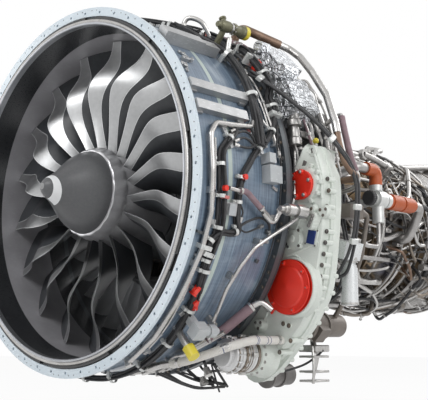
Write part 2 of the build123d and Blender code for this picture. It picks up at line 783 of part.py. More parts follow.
export(intermediate_case.part, "intermediate_case")


def hpc_bore(y):
    """Flow-path outer radius of the high-pressure compressor at station y."""
    return HPC_FRONT_R + (HPC_REAR_R - HPC_FRONT_R) * (y - MID_END) / (HPC_END - MID_END)


def hpc_hub(y):
    """Flow-path inner radius of the high-pressure compressor at station y."""
    return HPC_HUB_FRONT_R + (HPC_HUB_REAR_R - HPC_HUB_FRONT_R) * (y - MID_END) / (HPC_END - MID_END)


# High-pressure compressor: case with stiffening rings and fixed vanes, rotor drum on its shaft
hpc_pitch = (HPC_END - MID_END - 20) / (2 * HPC_STAGES)
with BuildPart() as hpc_case:
    turned([
        (HPC_FRONT_R, MID_END),
        (HPC_FRONT_R + CASE_WALL + 18, MID_END),
        (HPC_FRONT_R + CASE_WALL + 18, MID_END + 10),
        (HPC_FRONT_R + CASE_WALL, MID_END + 12),
        (HPC_REAR_R + CASE_WALL, HPC_END - 12),
        (HPC_REAR_R + CASE_WALL + 18, HPC_END - 10),
        (HPC_REAR_R + CASE_WALL + 18, HPC_END),
        (HPC_REAR_R, HPC_END),
    ])
    for y in (1060.0, 1230.0, 1410.0, 1560.0):
        ring(hpc_bore(y) + 2, hpc_bore(y) + CASE_WALL + 16, y, y + 14)
    for stage in range(HPC_STAGES - 1):
        front = MID_END + 10 + (2 * stage + 1) * hpc_pitch + 5
        rear = front + hpc_pitch - 10
        vane_row(hpc_hub(rear), hpc_bore(rear) + 4, HPC_BLADES, 4, front, hpc_pitch - 10)
export(hpc_case.part, "hpc_case")
with BuildPart() as hpc_rotor:
    turned([
        (HPC_HUB_FRONT_R - 10, MID_END + 10),
        (HPC_HUB_FRONT_R, MID_END + 10),
        (HPC_HUB_REAR_R, HPC_END - 10),
        (HPC_HUB_REAR_R - 12, HPC_END - 10),
    ])
    ring(HP_SHAFT_R - 2, HPC_HUB_FRONT_R - 2, MID_END + 14, MID_END + 28)
    ring(HP_SHAFT_R - 2, HPC_HUB_REAR_R - 4, HPC_END - 40, HPC_END - 24)
    ring(HP_BORE_R, HP_SHAFT_R, TOWER_Y + BEVEL_PINION_R, HPT_END - 25)
    for stage in range(HPC_STAGES):
        front = MID_END + 10 + 2 * stage * hpc_pitch + 5
        rear = front + hpc_pitch - 10
        hub = hpc_hub(rear)
        spoked_disc(hub, hpc_bore(rear) - TIP_GAP, HPC_BLADES, 5, front, hpc_pitch - 10)
export(hpc_rotor.part, "hpc_rotor")

# Bearings: roller rings at the two fan seats and the four core seats
with BuildPart() as bearings:
    for front in FAN_BEARING_STATIONS:
        ring(FAN_SHAFT_R + RUNNING_GAP, bearing_outer_r, front, front + BEARING_WIDTH)
    ring(LP_SHAFT_R + RUNNING_GAP, LP_SHAFT_R + BEARING_THICK, LPC_END + 6, LPC_END + 22)
    ring(HP_SHAFT_R + RUNNING_GAP, HP_SHAFT_R + BEARING_THICK, MID_END - 45, MID_END - 23)
    ring(HP_SHAFT_R + RUNNING_GAP, HP_SHAFT_R + BEARING_THICK, BURNER_END - 20, BURNER_END)
    ring(LP_SHAFT_R + RUNNING_GAP, LP_SHAFT_R + BEARING_THICK, shaft_end - 50, shaft_end - 28)
    for seat in (TOWER_INNER_SEAT, BOX_INNER_R + 4):
        with BuildSketch(Plane(origin=polar(seat, TOWER_ANGLE, TOWER_Y), z_dir=polar(1, TOWER_ANGLE))) as race:
            Circle(TOWER_BORE_R)
            Circle(TOWER_R + RUNNING_GAP, mode=Mode.SUBTRACT)
        extrude(race.sketch, amount=10)
export(bearings.part, "bearings")

# Tower shaft: radial drive from the spool to the gearbox
with BuildPart() as tower_shaft:
    tower_line = polar(1, TOWER_ANGLE)
    can(TOWER_R, polar(BEVEL_GEAR_R, TOWER_ANGLE, TOWER_Y), tower_line, BOX_INNER_R + 60 - BEVEL_GEAR_R)
    can(BEVEL_PINION_R - 8, polar(BEVEL_GEAR_R - 10, TOWER_ANGLE, TOWER_Y), tower_line, 14)
export(tower_shaft.part, "tower_shaft")

# Combustor: pressure case, annular liner, nozzles and their supply ring
with BuildPart() as combustor_case:
    turned([
        (HPC_REAR_R, HPC_END),
        (HPC_REAR_R + CASE_WALL + 18, HPC_END),
        (HPC_REAR_R + CASE_WALL + 18, HPC_END + 10),
        (HPC_REAR_R + CASE_WALL, HPC_END + 12),
        (BURNER_CASE_R, 1722),
        (BURNER_CASE_R, BURNER_END - 10),
        (BURNER_CASE_R + 18, BURNER_END - 10),
        (BURNER_CASE_R + 18, BURNER_END),
        (BURNER_CASE_R - CASE_WALL, BURNER_END),
        (BURNER_CASE_R - CASE_WALL, 1728),
        (HPC_REAR_R + 4, HPC_END + 20),
    ])
    for index in range(NOZZLE_COUNT):
        angle = index * 360 / NOZZLE_COUNT
        can(NOZZLE_R + SEAT_GAP, polar(BURNER_CASE_R - 30, angle, NOZZLE_Y), polar(1, angle), 60, Mode.SUBTRACT)
export(combustor_case.part, "combustor_case")
# Burner set: the annular liner, and the fuel nozzles with their manifold as a second solid
with BuildPart() as burner_set:
    turned([
        (240, 1975),
        (240, 1790),
        (262, 1765),
        (322, 1765),
        (348, 1790),
        (348, 1975),
        (343, 1975),
        (343, 1793),
        (320, 1770),
        (264, 1770),
        (245, 1793),
        (245, 1975),
    ])
    for index in range(NOZZLE_COUNT):
        angle = index * 360 / NOZZLE_COUNT
        can(NOZZLE_R, polar(282, angle, NOZZLE_Y), polar(1, angle), BURNER_CASE_R - 256)
        can(NOZZLE_R + 12, polar(BURNER_CASE_R + SEAT_GAP, angle, NOZZLE_Y), polar(1, angle), 9)
        can(9, polar(292, angle, NOZZLE_Y), (0, 1, 0), 20 - SEAT_GAP)
        can(5, polar(BURNER_CASE_R + 19, angle, NOZZLE_Y - 32), (0, 1, 0), 32)
    manifold = (BURNER_CASE_R + 12, BURNER_CASE_R + 26)
    ring(manifold[0], manifold[1], NOZZLE_Y - 40, NOZZLE_Y - 27)
export(burner_set.part, "burner_set")

# High-pressure turbine
hpt_bore = HPT_TIP_R + TIP_GAP
with BuildPart() as turbine_nozzle:
    vane_row(230, BURNER_CASE_R - CASE_WALL - SEAT_GAP, 24, 6, BURNER_END - 20, 18)
    turned([
        (HP_SHAFT_R + BEARING_THICK, BURNER_END - 24),
        (HP_SHAFT_R + BEARING_THICK + 12, BURNER_END - 24),
        (230 + TIP_GAP + 2, BURNER_END - 12),
        (230 + TIP_GAP + 2, BURNER_END - 2),
        (HP_SHAFT_R + BEARING_THICK, BURNER_END),
    ])
export(turbine_nozzle.part, "turbine_nozzle")
with BuildPart() as hpt_case:
    turned([
        (hpt_bore, BURNER_END),
        (BURNER_CASE_R + 18, BURNER_END),
        (BURNER_CASE_R + 18, BURNER_END + 10),
        (HPT_CASE_R, BURNER_END + 12),
        (HPT_CASE_R, HPT_END - 12),
        (HPT_CASE_R + 18, HPT_END - 10),
        (HPT_CASE_R + 18, HPT_END),
        (hpt_bore, HPT_END),
    ])
    vane_row(250, hpt_bore + 1, 24, 6, 2066, 26)
export(hpt_case.part, "hpt_case")
with BuildPart() as hpt_rotor:
    for front in (2014.0, 2100.0):
        spoked_disc(250, HPT_TIP_R, 30, 6, front, 44)
        ring(HP_SHAFT_R, 240, front + 8, front + 32)
    ring(225, 240, 2030, 2120)
export(hpt_rotor.part, "hpt_rotor")


def lpt_bore(y):
    """Flow-path outer radius of the low-pressure turbine at station y."""
    return hpt_bore + (LPT_REAR_R - CASE_WALL - hpt_bore) * (y - HPT_END) / (LPT_END - HPT_END)


# Low-pressure turbine
lpt_pitch = (LPT_END - HPT_END) / (2 * LPT_STAGES)
with BuildPart() as lpt_case:
    turned([
        (hpt_bore, HPT_END),
        (HPT_CASE_R + 18, HPT_END),
        (HPT_CASE_R + 18, HPT_END + 10),
        (hpt_bore + CASE_WALL + 2, HPT_END + 12),
        (LPT_REAR_R, LPT_END - 12),
        (LPT_REAR_R + 16, LPT_END - 10),
        (LPT_REAR_R + 16, LPT_END),
        (LPT_REAR_R - CASE_WALL, LPT_END),
    ])
    for stage in range(LPT_STAGES):
        front = HPT_END + 2 * stage * lpt_pitch + 14
        vane_row(252, lpt_bore(front) + 4, 24, 6, front, lpt_pitch - 24)
export(lpt_case.part, "lpt_case")
with BuildPart() as lpt_rotor:
    lpt_first = HPT_END + lpt_pitch + 6
    ring(234, 246, lpt_first, LPT_END - 12)
    for y in (HPT_END + 2 * lpt_pitch, LPT_END - 60):
        ring(LP_SHAFT_R, 240, y, y + 16)
    for stage in range(LPT_STAGES):
        front = lpt_first + 2 * stage * lpt_pitch
        spoked_disc(252, lpt_bore(front) - TIP_GAP, LPT_BLADES, 5, front, lpt_pitch - 16)
export(lpt_rotor.part, "lpt_rotor")


def lpt_seat(y):
    """Outer radius of the low-pressure turbine case at station y, with the seat gap."""
    front_r = hpt_bore + CASE_WALL + 2
    return front_r + (LPT_REAR_R - front_r) * (y - HPT_END - 12) / (LPT_END - HPT_END - 24) + SEAT_GAP


# Cooling rings around the low-pressure turbine case
with BuildPart() as cooling_rings:
    for index in range(5):
        y = HPT_END + 60 + index * 95
        seat = lpt_seat(y + 12)
        ring(seat, seat + 14, y, y + 12)
    feed_start = HPT_END + 66
    feed_end = HPT_END + 446
    pipe([
        polar(lpt_seat(feed_start) + 20, -62, feed_start),
        polar(lpt_seat(feed_end) + 20, -62, feed_end),
    ], 24)
export(cooling_rings.part, "cooling_rings")

# Exhaust case: outer ring with its bolt circle, then struts, rear mount lug and hub with bearing seat and cone
exhaust_front_r = LPT_REAR_R - CASE_WALL
exhaust_bore_r = EXHAUST_REAR_R - EXHAUST_WALL
strut_plane = station(LPT_END + EXHAUST_STRUT_START)
with BuildPart() as exhaust_case:
    turned([
        (exhaust_front_r, LPT_END),
        (LPT_REAR_R + 16, LPT_END),
        (LPT_REAR_R + 16, LPT_END + 10),
        (LPT_REAR_R, LPT_END + 12),
        (EXHAUST_REAR_R, EXHAUST_END - 12),
        (EXHAUST_REAR_R + EXHAUST_LIP, EXHAUST_END - 10),
        (EXHAUST_REAR_R + EXHAUST_LIP, EXHAUST_END),
        (exhaust_bore_r, EXHAUST_END),
    ])
    with BuildSketch(station(EXHAUST_END - 10)) as holes:
        with PolarLocations(EXHAUST_REAR_R + EXHAUST_LIP / 2 + 1, EXHAUST_HOLES):
            Circle(4.5)
    extrude(holes.sketch, amount=-10, mode=Mode.SUBTRACT)
export(exhaust_case.part, "exhaust_case")
with BuildPart(mode=Mode.PRIVATE) as exhaust_hub:
    ring(EXHAUST_HUB_R - 10, EXHAUST_HUB_R, LPT_END + 15, EXHAUST_END - 50)
    turned([
        (LP_SHAFT_R + BEARING_THICK, shaft_end - 52),
        (LP_SHAFT_R + BEARING_THICK + 12, shaft_end - 52),
        (EXHAUST_HUB_R - 4, shaft_end - 40),
        (EXHAUST_HUB_R - 4, shaft_end - 28),
        (LP_SHAFT_R + BEARING_THICK, shaft_end - 26),
    ])
    turned([
        (EXHAUST_HUB_R, EXHAUST_END - 51),
        (EXHAUST_HUB_R - 30, EXHAUST_END),
        (80, CONE_END),
        (0, CONE_END),
        (0, CONE_END - 6),
        (76, CONE_END - 6),
        (EXHAUST_HUB_R - 36, EXHAUST_END),
        (EXHAUST_HUB_R - 8, EXHAUST_END - 51),
    ])
with BuildPart(mode=Mode.PRIVATE) as exhaust_room:
    turned([
        (EXHAUST_HUB_R + SEAT_GAP, LPT_END),
        (exhaust_front_r - SEAT_GAP, LPT_END),
        (exhaust_bore_r - SEAT_GAP, EXHAUST_END),
        (EXHAUST_HUB_R + SEAT_GAP, EXHAUST_END),
    ])
with BuildPart(mode=Mode.PRIVATE) as strut_block:
    with BuildSketch(strut_plane) as strut_shape:
        with Locations(((EXHAUST_HUB_R + LPT_REAR_R) / 2, 0)):
            Rectangle(LPT_REAR_R - EXHAUST_HUB_R + 40, EXHAUST_STRUT_THICK)
    extrude(strut_shape.sketch, amount=-EXHAUST_STRUT_CHORD)
exhaust_strut = strut_block.part & exhaust_room.part
with BuildPart(mode=Mode.PRIVATE) as rear_lug:
    with BuildSketch(Plane.YZ.offset(-REAR_LUG_THICK / 2)) as lug:
        with BuildLine() as lug_line:
            Polyline(
                (REAR_MOUNT_Y - LUG_HALF, LPT_REAR_R - 60),
                (REAR_MOUNT_Y + LUG_HALF, LPT_REAR_R - 60),
                (REAR_MOUNT_Y + 24, REAR_MOUNT_Z),
                (REAR_MOUNT_Y - 24, REAR_MOUNT_Z),
                close=True,
            )
        make_face()
        with Locations((REAR_MOUNT_Y, REAR_MOUNT_Z)):
            Circle(24)
            Circle(REAR_MOUNT_R, mode=Mode.SUBTRACT)
    extrude(lug.sketch, amount=REAR_LUG_THICK)
    turned([
        (0, LPT_END + 12),
        (LPT_REAR_R + SEAT_GAP, LPT_END + 12),
        (EXHAUST_REAR_R + SEAT_GAP, EXHAUST_END - 12),
        (0, EXHAUST_END - 12),
    ], mode=Mode.SUBTRACT)
with BuildPart() as exhaust_frame:
    add(exhaust_hub.part)
    add(rear_lug.part)
    for index in range(EXHAUST_STRUTS):
        add(exhaust_strut.rotate(Axis.Y, EXHAUST_STRUT_PHASE + index * 360 / EXHAUST_STRUTS))
export(exhaust_frame.part, "exhaust_frame")


def box_outline():
    """Outline of the gearbox casing: an arc band with a rounded top lug and bolt lugs."""
    with BuildSketch(mode=Mode.PRIVATE) as outline:
        with BuildLine():
            span = BOX_TOP_ANGLE - BOX_LOW_ANGLE
            outer = CenterArc((0, 0), BOX_OUTER_R, BOX_LOW_ANGLE, span)
            inner = CenterArc((0, 0), BOX_INNER_R, BOX_LOW_ANGLE, span)
            Line(outer @ 0, inner @ 0)
            Line(outer @ 1, inner @ 1)
        make_face()
        with BuildSketch(mode=Mode.PRIVATE) as top:
            for radius, angle, size in ((BOX_TOP_LUG_R, 10, 36), (898, -5, 38), (776, -5, 38)):
                spot = polar(radius, angle)
                with Locations((spot.X, spot.Z)):
                    Circle(size)
            make_hull()
        add(top.sketch)
        lug_count = 15
        for index in range(lug_count):
            spot = polar(BOX_OUTER_R, BOX_LOW_ANGLE + 3 + index * (span - 4) / (lug_count - 1))
            with Locations((spot.X, spot.Z)):
                Circle(11)
    return outline.sketch


def on_plane(sketch, y):
    """The same sketch laid on the plane across the shaft line at station y."""
    return station(y) * sketch


# Accessory gearbox: front housing with its pads, rear housing
box_face = box_outline()
with BuildPart() as gearbox_front_housing:
    extrude(on_plane(box_face, BOX_SPLIT), amount=BOX_SPLIT - BOX_FRONT)
    starter = polar(STARTER_CENTRE_R, STARTER_ANGLE)
    pad = polar(PAD_CENTRE_R, PAD_ANGLE)
    starter_back = STARTER_FACE + COVER_THICK
    pad_back = PAD_FACE + COVER_THICK
    can(STARTER_COVER_R + 1, Vector(starter.X, starter_back, starter.Z), (0, 1, 0), BOX_FRONT + 4 - starter_back)
    can(PAD_COVER_R + 3, Vector(pad.X, pad_back, pad.Z), (0, 1, 0), BOX_FRONT + 4 - pad_back)
    for radius, angle, size, proud in ((792, -16, 46, 22), (868, -12, 30, 14), (872, -41, 38, 16), (800, -62, 34, 18)):
        spot = polar(radius, angle, BOX_FRONT - proud)
        can(size, spot, (0, 1, 0), proud + 4)
        can(size * 0.6, Vector(spot.X, spot.Y - 5, spot.Z), (0, 1, 0), 6)
    lug_hole = polar(BOX_TOP_LUG_R + 6, 11.5, BOX_FRONT - 1)
    can(13, lug_hole, (0, 1, 0), BOX_SPLIT - BOX_FRONT + 2, Mode.SUBTRACT)
    can(TOWER_BORE_R, polar(BOX_INNER_R - 10, TOWER_ANGLE, TOWER_Y), polar(1, TOWER_ANGLE), 90, Mode.SUBTRACT)
export(gearbox_front_housing.part, "gearbox_front_housing")
with BuildPart() as gearbox_rear_housing:
    extrude(on_plane(box_face, BOX_END), amount=BOX_END - BOX_SPLIT)
    can(TOWER_BORE_R, polar(BOX_INNER_R - 10, TOWER_ANGLE, TOWER_Y), polar(1, TOWER_ANGLE), 90, Mode.SUBTRACT)
    lug_hole = polar(BOX_TOP_LUG_R + 6, 11.5, BOX_SPLIT - 1)
    can(13, lug_hole, (0, 1, 0), BOX_END - BOX_SPLIT + 2, Mode.SUBTRACT)
export(gearbox_rear_housing.part, "gearbox_rear_housing")

# Red transit covers on the two open pads and red caps on small fittings
with BuildPart() as red_covers:
    can(STARTER_COVER_R, Vector(starter.X, STARTER_FACE, starter.Z), (0, 1, 0), COVER_THICK)
    can(STARTER_COVER_R * 0.66, Vector(starter.X, STARTER_FACE - 4, starter.Z), (0, 1, 0), 5)
    can(PAD_COVER_R, Vector(pad.X, PAD_FACE, pad.Z), (0, 1, 0), COVER_THICK)
    for index in range(6):
        spot = polar(PAD_COVER_R - 6, 75 + index * 60)
        can(8, Vector(pad.X + spot.X, PAD_FACE - 9, pad.Z + spot.Z), (0, 1, 0), 12)
    for angle, y in SMALL_FITTINGS:
        can(11, polar(FITTING_TOP_R + SEAT_GAP, angle, y), polar(1, angle), 15)
export(red_covers.part, "red_covers")

# Generator: ringed can on the front of the gearbox
with BuildPart() as generator:
    front_point = polar(GENERATOR_CENTRE_R, GENERATOR_ANGLE, GENERATOR_FRONT)
    steps = (
        (58, 28),
        (76, 18),
        (GENERATOR_R - 3, 70),
        (GENERATOR_R + 3, 10),
        (GENERATOR_R - 3, 48),
        (GENERATOR_R + 3, 10),
        (GENERATOR_R - 3, 60),
        (GENERATOR_R + 5, 12),
    )
    stepped_can(front_point, (0, 1, 0), steps)
    used = sum(length for radius, length in steps)
    can(GENERATOR_R - 1, front_point + Vector(0, used, 0), (0, 1, 0), BOX_FRONT - GENERATOR_FRONT - used)
export(generator.part, "generator")

# Lubrication pump, fuel pump with its control, oil filter on the rear of the gearbox
with BuildPart() as lubrication_pump:
    stepped_can(polar(888, -62.5, BOX_END), (0, 1, 0), ((58, 14), (50, 60), (56, 12), (48, 70)))
export(lubrication_pump.part, "lubrication_pump")
with BuildPart() as fuel_pump:
    stepped_can(polar(852, -42, BOX_END), (0, 1, 0), ((62, 16), (54, 90), (60, 14), (50, 120)))
    block(852, -42, BOX_END + 60, 140, 70, 60)
    block(850, -6, BOX_END + 48, 80, 60, 96)
    stepped_can(polar(850, -6, BOX_END + 96), (0, 1, 0), ((26, 30), (18, 24)))
    feed_y = BOX_END + 186
    pipe([
        polar(850, -6, BOX_END + 140),
        polar(850, -6, feed_y),
        polar(850, -18, feed_y),
        polar(850, -30, feed_y),
        polar(850, -40, feed_y - 6),
    ], 22, 30)
export(fuel_pump.part, "fuel_pump")
with BuildPart() as oil_filter:
    block(846, -17, BOX_END + 62, 90, 76, 124)
    filter_top = (FILTER_X, BOX_END + 92, -270)
    stepped_can(filter_top, (0, 0, -1), ((30, 44), (34, 12), (FILTER_R, 150), (34, 10)))
export(oil_filter.part, "oil_filter")

# Insulated valve pack on the exit case
with BuildPart() as valve_pack:
    block(exit_wall_r + 78, 42, 640, 155, 150, 160)
    block(exit_wall_r + 70, 28, 640, 139, 170, 150)
    can(34, polar(872, 35, 550), (0, 1, 0), 90)
    can(26, polar(872, 46, 540), (0, 1, 0), 60)
export(valve_pack.part, "valve_pack")

# Sensor boxes and the white actuator on the fan case
with BuildPart() as sensor_boxes:
    case_box(1.5, 415, 44, 70, 74)
    case_box(6, 395, 48, 40, 40)
    case_box(-10.5, 176, 34, 44, 30)
    block(ACTUATOR_R, ACTUATOR_ANGLE, 168, 46, 56, 60)
    stepped_can(polar(ACTUATOR_R, ACTUATOR_ANGLE, 198), (0, 1, 0), ((20, 18), (26, 34), (14, 20)))
    block((CASE_R + ACTUATOR_R) / 2, ACTUATOR_ANGLE, 168, ACTUATOR_R - CASE_R - 2 * SEAT_GAP, 24, 40)
export(sensor_boxes.part, "sensor_boxes")

# Silver rails and beam along the fan case
with BuildPart() as case_rails:
    for angle, rail_end in ((25.0, 346.0), (18.0, 300.0)):
        rail_length = rail_end - FLANGE_THICK - 4
        block(CASE_R + 16, angle, rail_end - rail_length / 2, 30, 40, rail_length)
        for y in (40.0, rail_end - 30.0):
            block(CASE_R + 6, angle, y, 11, 58, 36)
    case_box(46, 132, 50, 56, 214)
    case_box(46, 284, 44, 50, 90)
export(case_rails.part, "case_rails")

# Olive anti-ice valve along the top of the case, and the yellow caps
with BuildPart() as anti_ice_valve:
    stepped_can(polar(ICE_VALVE_R, ICE_VALVE_ANGLE, 330), (0, 1, 0), ((22, 20), (32, 60), (26, 30), (32, 60), (34, 10)))
    case_box(ICE_VALVE_ANGLE, 395, ICE_VALVE_R - 20 - CASE_R, 30, 40)
export(anti_ice_valve.part, "anti_ice_valve")
lug_stud = Vector(790, 700, 175.5)
with BuildPart() as yellow_caps:
    can(30, polar(ICE_VALVE_R, ICE_VALVE_ANGLE, 510 + SEAT_GAP), (0, 1, 0), 22)
    can(24, polar(CAPPED_END_R + SEAT_GAP, CAPPED_END_ANGLE, CAPPED_END_Y), polar(1, CAPPED_END_ANGLE), 50)
    with Locations(lug_stud + Vector(0, 0, 16 + 13 + SEAT_GAP)):
        Sphere(13)
export(yellow_caps.part, "yellow_caps")

# Silver tubes on the fan case, with their standoffs and end fittings
with BuildPart() as case_tubes:
    tube_run([
        (ICE_VALVE_R - 36, 50, 425), (800, 47, 412), (790, 38, 397), (790, 30, 380), (788, 20, 372), (788, 15, 320),
        (788, 14, 200), (788, 13.5, 110), (788, 10, 72), (788, 0, 68), (788, -12, 78), (788, -22, 72),
        (788, -31, 58), (788, -40, 55), (788, -52, 62), (788, -66, 75),
    ], 22, 40, (3, 6, 9, 11, 14))
    foot(788, -66, 75, 15)
    for angle, y in SMALL_FITTINGS:
        seat = case_seat(y) + SEAT_GAP
        can(8, polar(seat, angle, y), polar(1, angle), FITTING_TOP_R - seat)
    bleed = polar(845, -8.3, 400)
    stepped_can(bleed, (0, 1, 0), ((11, 22), (16, 18), (24, 40), (18, 14), (28, 56), (15, BOX_FRONT - 550 - SEAT_GAP)))
    tube_run([
        (838, -8.3, 560), (806, -12, 520), (800, -17, 408), (800, -20, 346), (800, -26, 295), (800, -33, 269),
        (800, -41, 285), (800, -45, 300),
    ], 16, 50, (2, 4))
    foot(800, -45, 300, 14)
    tube_run([(800, -10, 352), (800, -12.9, 425), (806, -9, 446), (838, -8.3, 446)], 20, 30)
    tube_run([(836, -46, 352), (826, -50, 325), (806, -57, 306), (798, -66, 318), (798, -74, 330)], 20, 60, (2,))
    foot(798, -74, 330, 15)
    tube_run([
        (915, -43.8, BOX_FRONT - 1), (915, -43.8, 425), (903, -47, 322), (862, -56, 232), (820, -63, 205),
        (800, -70, 205),
    ], 30, 60, (4,))
    foot(800, -70, 205, 18)
    can(15, polar(CASE_R + SEAT_GAP, CAPPED_END_ANGLE, CAPPED_END_Y), polar(1, CAPPED_END_ANGLE),
        CAPPED_END_R - CASE_R - SEAT_GAP)
    can(7, lug_stud, (0, 0, 1), 16)
export(case_tubes.part, "case_tubes")

# Bleed ducts: bronze runs joined by a silver run that bends over the exit case
upper_from = polar(890, 56, 640)
upper_to = polar(890, 51, 815)
upper_joint = upper_from * 0.28 + upper_to * 0.72
lower_from = polar(902, 18, 750)
lower_to = polar(902, 12, 738)
lower_joint = lower_from * 0.5 + lower_to * 0.5
with BuildPart() as bronze_ducts:
    pipe([polar(exit_wall_r + SEAT_GAP, 60, 600), polar(890, 60, 600), upper_from, upper_joint], 40, 50)
    pipe([
        lower_joint,
        lower_to,
        polar(910, 7, 738),
        polar(920, 4, 770),
        polar(915, 3, 829),
        polar(exit_wall_r + SEAT_GAP, 3, 829),
    ], 28, 34)
export(bronze_ducts.part, "bronze_ducts")
with BuildPart() as silver_ducts:
    pipe([
        upper_joint + (upper_to - upper_from).normalized() * SEAT_GAP,
        upper_to,
        polar(890, 46, 822),
        polar(890, 38, 798),
        polar(896, 28, 782),
        lower_from,
        lower_joint - (lower_to - lower_from).normalized() * SEAT_GAP,
    ], 34, 40)
export(silver_ducts.part, "silver_ducts")

# Mauve insulated hoses on the gearbox side
with BuildPart() as mauve_hoses:
    tube_run([(830, -33, 470), (830, -36, 458), (830, -41, 424), (834, -45.5, 356)], 45, 60)
    foot(830, -33, 470, 24)
    tube_run([(900, 21, 822), (898, 16, 800), (898, 10, 800), (900, 5, 836)], 28, 40)
    foot(900, 21, 822, 18)
    tube_run([(800, -4, 195), (800, -5, 220), (800, -8, 300), (800, -10, 351)], 24, 40, (1,))
    foot(800, -4, 195, 16)
export(mauve_hoses.part, "mauve_hoses")

# Black harness with its clamps
with BuildPart() as harness:
    tube_run([
        (795, 58, 30), (795, 57, 200), (800, 56, 330), (806, 55, 438), (812, 50, 452), (814, 40, 450), (814, 31, 431),
        (814, 19, 365), (806, 11, 333),
    ], 15, 40, (0, 1, 5))
    foot(795, 58, 30, 12)
    foot(806, 11, 333, 12)
    tube_run([
        (800, 10, 154), (800, 2, 108), (800, -6, 104), (802, -18, 132), (808, -22, 97), (810, -31, 88),
        (810, -37, 28), (810, -48, 28), (810, -70, 40),
    ], 15, 40, (0, 2, 4, 7))
    foot(800, 10, 154, 12)
    foot(810, -70, 40, 12)
    tube_run([
        (830, 34, 440), (852, 24, 520), (884, 15, 600), (934, 8, 680), (962, 0, 760), (966, -10, 812), (958, -20, 822),
        (926, -26, 822),
    ], 18, 60)
    tube_run([
        (830, 33, 418), (855, 22, 505), (900, 13, 600), (950, 6, 690), (980, -2, 770), (984, -10, 836),
        (960, -20, 843), (926, -26, 843),
    ], 18, 60)
    foot(830, 34, 440, 13)
    foot(830, 33, 418, 13)
    can(12, polar(926, -26, BOX_END + SEAT_GAP), (0, 1, 0), 48)
export(harness.part, "harness")


def hpc_seat(y):
    """Outer radius of the high-pressure compressor case at station y, with the seat gap."""
    slope = (HPC_REAR_R - HPC_FRONT_R) / (HPC_END - MID_END - 24)
    return HPC_FRONT_R + CASE_WALL + slope * (y - MID_END - 12) + SEAT_GAP


# Starter air valve beside the core, on its bracket
with BuildPart() as air_valve:
    valve_start = Vector(VALVE_X, VALVE_Y, VALVE_Z)
    stepped_can(valve_start, (0, 1, 0), ((36, 16), (30, 24), (46, 70), (30, 22), (37, 28)))
    can(32, valve_start + Vector(0, 60, 40), (0, 0, 1), 30)
    can(30, valve_start + Vector(0, 75, -120), (0, 0, 1), 100)
    bracket_y = VALVE_Y + 75
    bracket_foot = hpc_seat(bracket_y - 8)
    bracket_angle = math.degrees(math.atan2(VALVE_Z, VALVE_X))
    reach = math.hypot(VALVE_X, VALVE_Z) - 30
    block((bracket_foot + reach) / 2, bracket_angle, bracket_y, reach - bracket_foot, 44, 14)
export(air_valve.part, "air_valve")

# Orange insulated sleeves: the straight one behind the valve and the elbow above it
sleeve_y = VALVE_Y + 160
with BuildPart() as air_sleeves:
    sleeve_steps = ((36, 20), (41, 92), (37, 16), (41, 92), (36, 20))
    stepped_can(Vector(VALVE_X, sleeve_y + SEAT_GAP, VALVE_Z), (0, 1, 0), sleeve_steps)
    elbow_foot = valve_start + Vector(0, 60, 70 + SEAT_GAP)
    elbow_end = elbow_foot + Vector(0, -92, 76)
    pipe([elbow_foot, elbow_foot + Vector(0, 0, 76), elbow_end], 66, 50)
export(air_sleeves.part, "air_sleeves")

# Silver ducts and tubes around the core
sleeve_end = sleeve_y + SEAT_GAP + sum(length for radius, length in sleeve_steps)
burner_seat = BURNER_CASE_R + SEAT_GAP
with BuildPart() as core_ducts:
    pipe([
        Vector(VALVE_X, sleeve_end + SEAT_GAP, VALVE_Z),
        Vector(VALVE_X, sleeve_end + 84, VALVE_Z),
        Vector(500, 1952, -20),
        polar(460, -12, 1952),
        polar(burner_seat, -12, 1952),
    ], 52, 60)
    pipe([
        elbow_end + Vector(0, -SEAT_GAP, 0),
        elbow_end + Vector(0, -70, 0),
        polar(480, 22, 1290),
        polar(hpc_seat(1262), 22, 1290),
    ], 50, 60)
    pipe([
        polar(hpc_seat(1270), -14, 1290),
        polar(560, -14, 1290),
        polar(592, -17, 1400),
        polar(592, -17, 1500),
        Vector(VALVE_X, VALVE_Y + 75, -110),
        Vector(VALVE_X, VALVE_Y + 75, VALVE_Z - 120 - SEAT_GAP),
    ], 22, 40)
    for angle, low_y, high_y, out, size in CORE_RUNS:
        pipe([
            polar(hpc_seat(low_y - size / 2), angle, low_y),
            polar(out - 60, angle, low_y),
            polar(out, angle, low_y + 90),
            polar(out, angle, high_y),
            polar(burner_seat, angle, high_y),
        ], size, 40)
    for y, out in ((1130.0, 340.0), (1350.0, 320.0)):
        ring(out, out + 16, y, y + 16)
        for index in range(8):
            angle = 10 + index * 45
            can(9, polar(hpc_seat(y), angle, y + 8), polar(1, angle), out + 4 - hpc_seat(y))
export(core_ducts.part, "core_ducts")
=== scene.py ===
import json
import logging
import math
from dataclasses import dataclass
from enum import Enum
from typing import Callable, Dict, List, Optional, Sequence, Tuple, Union

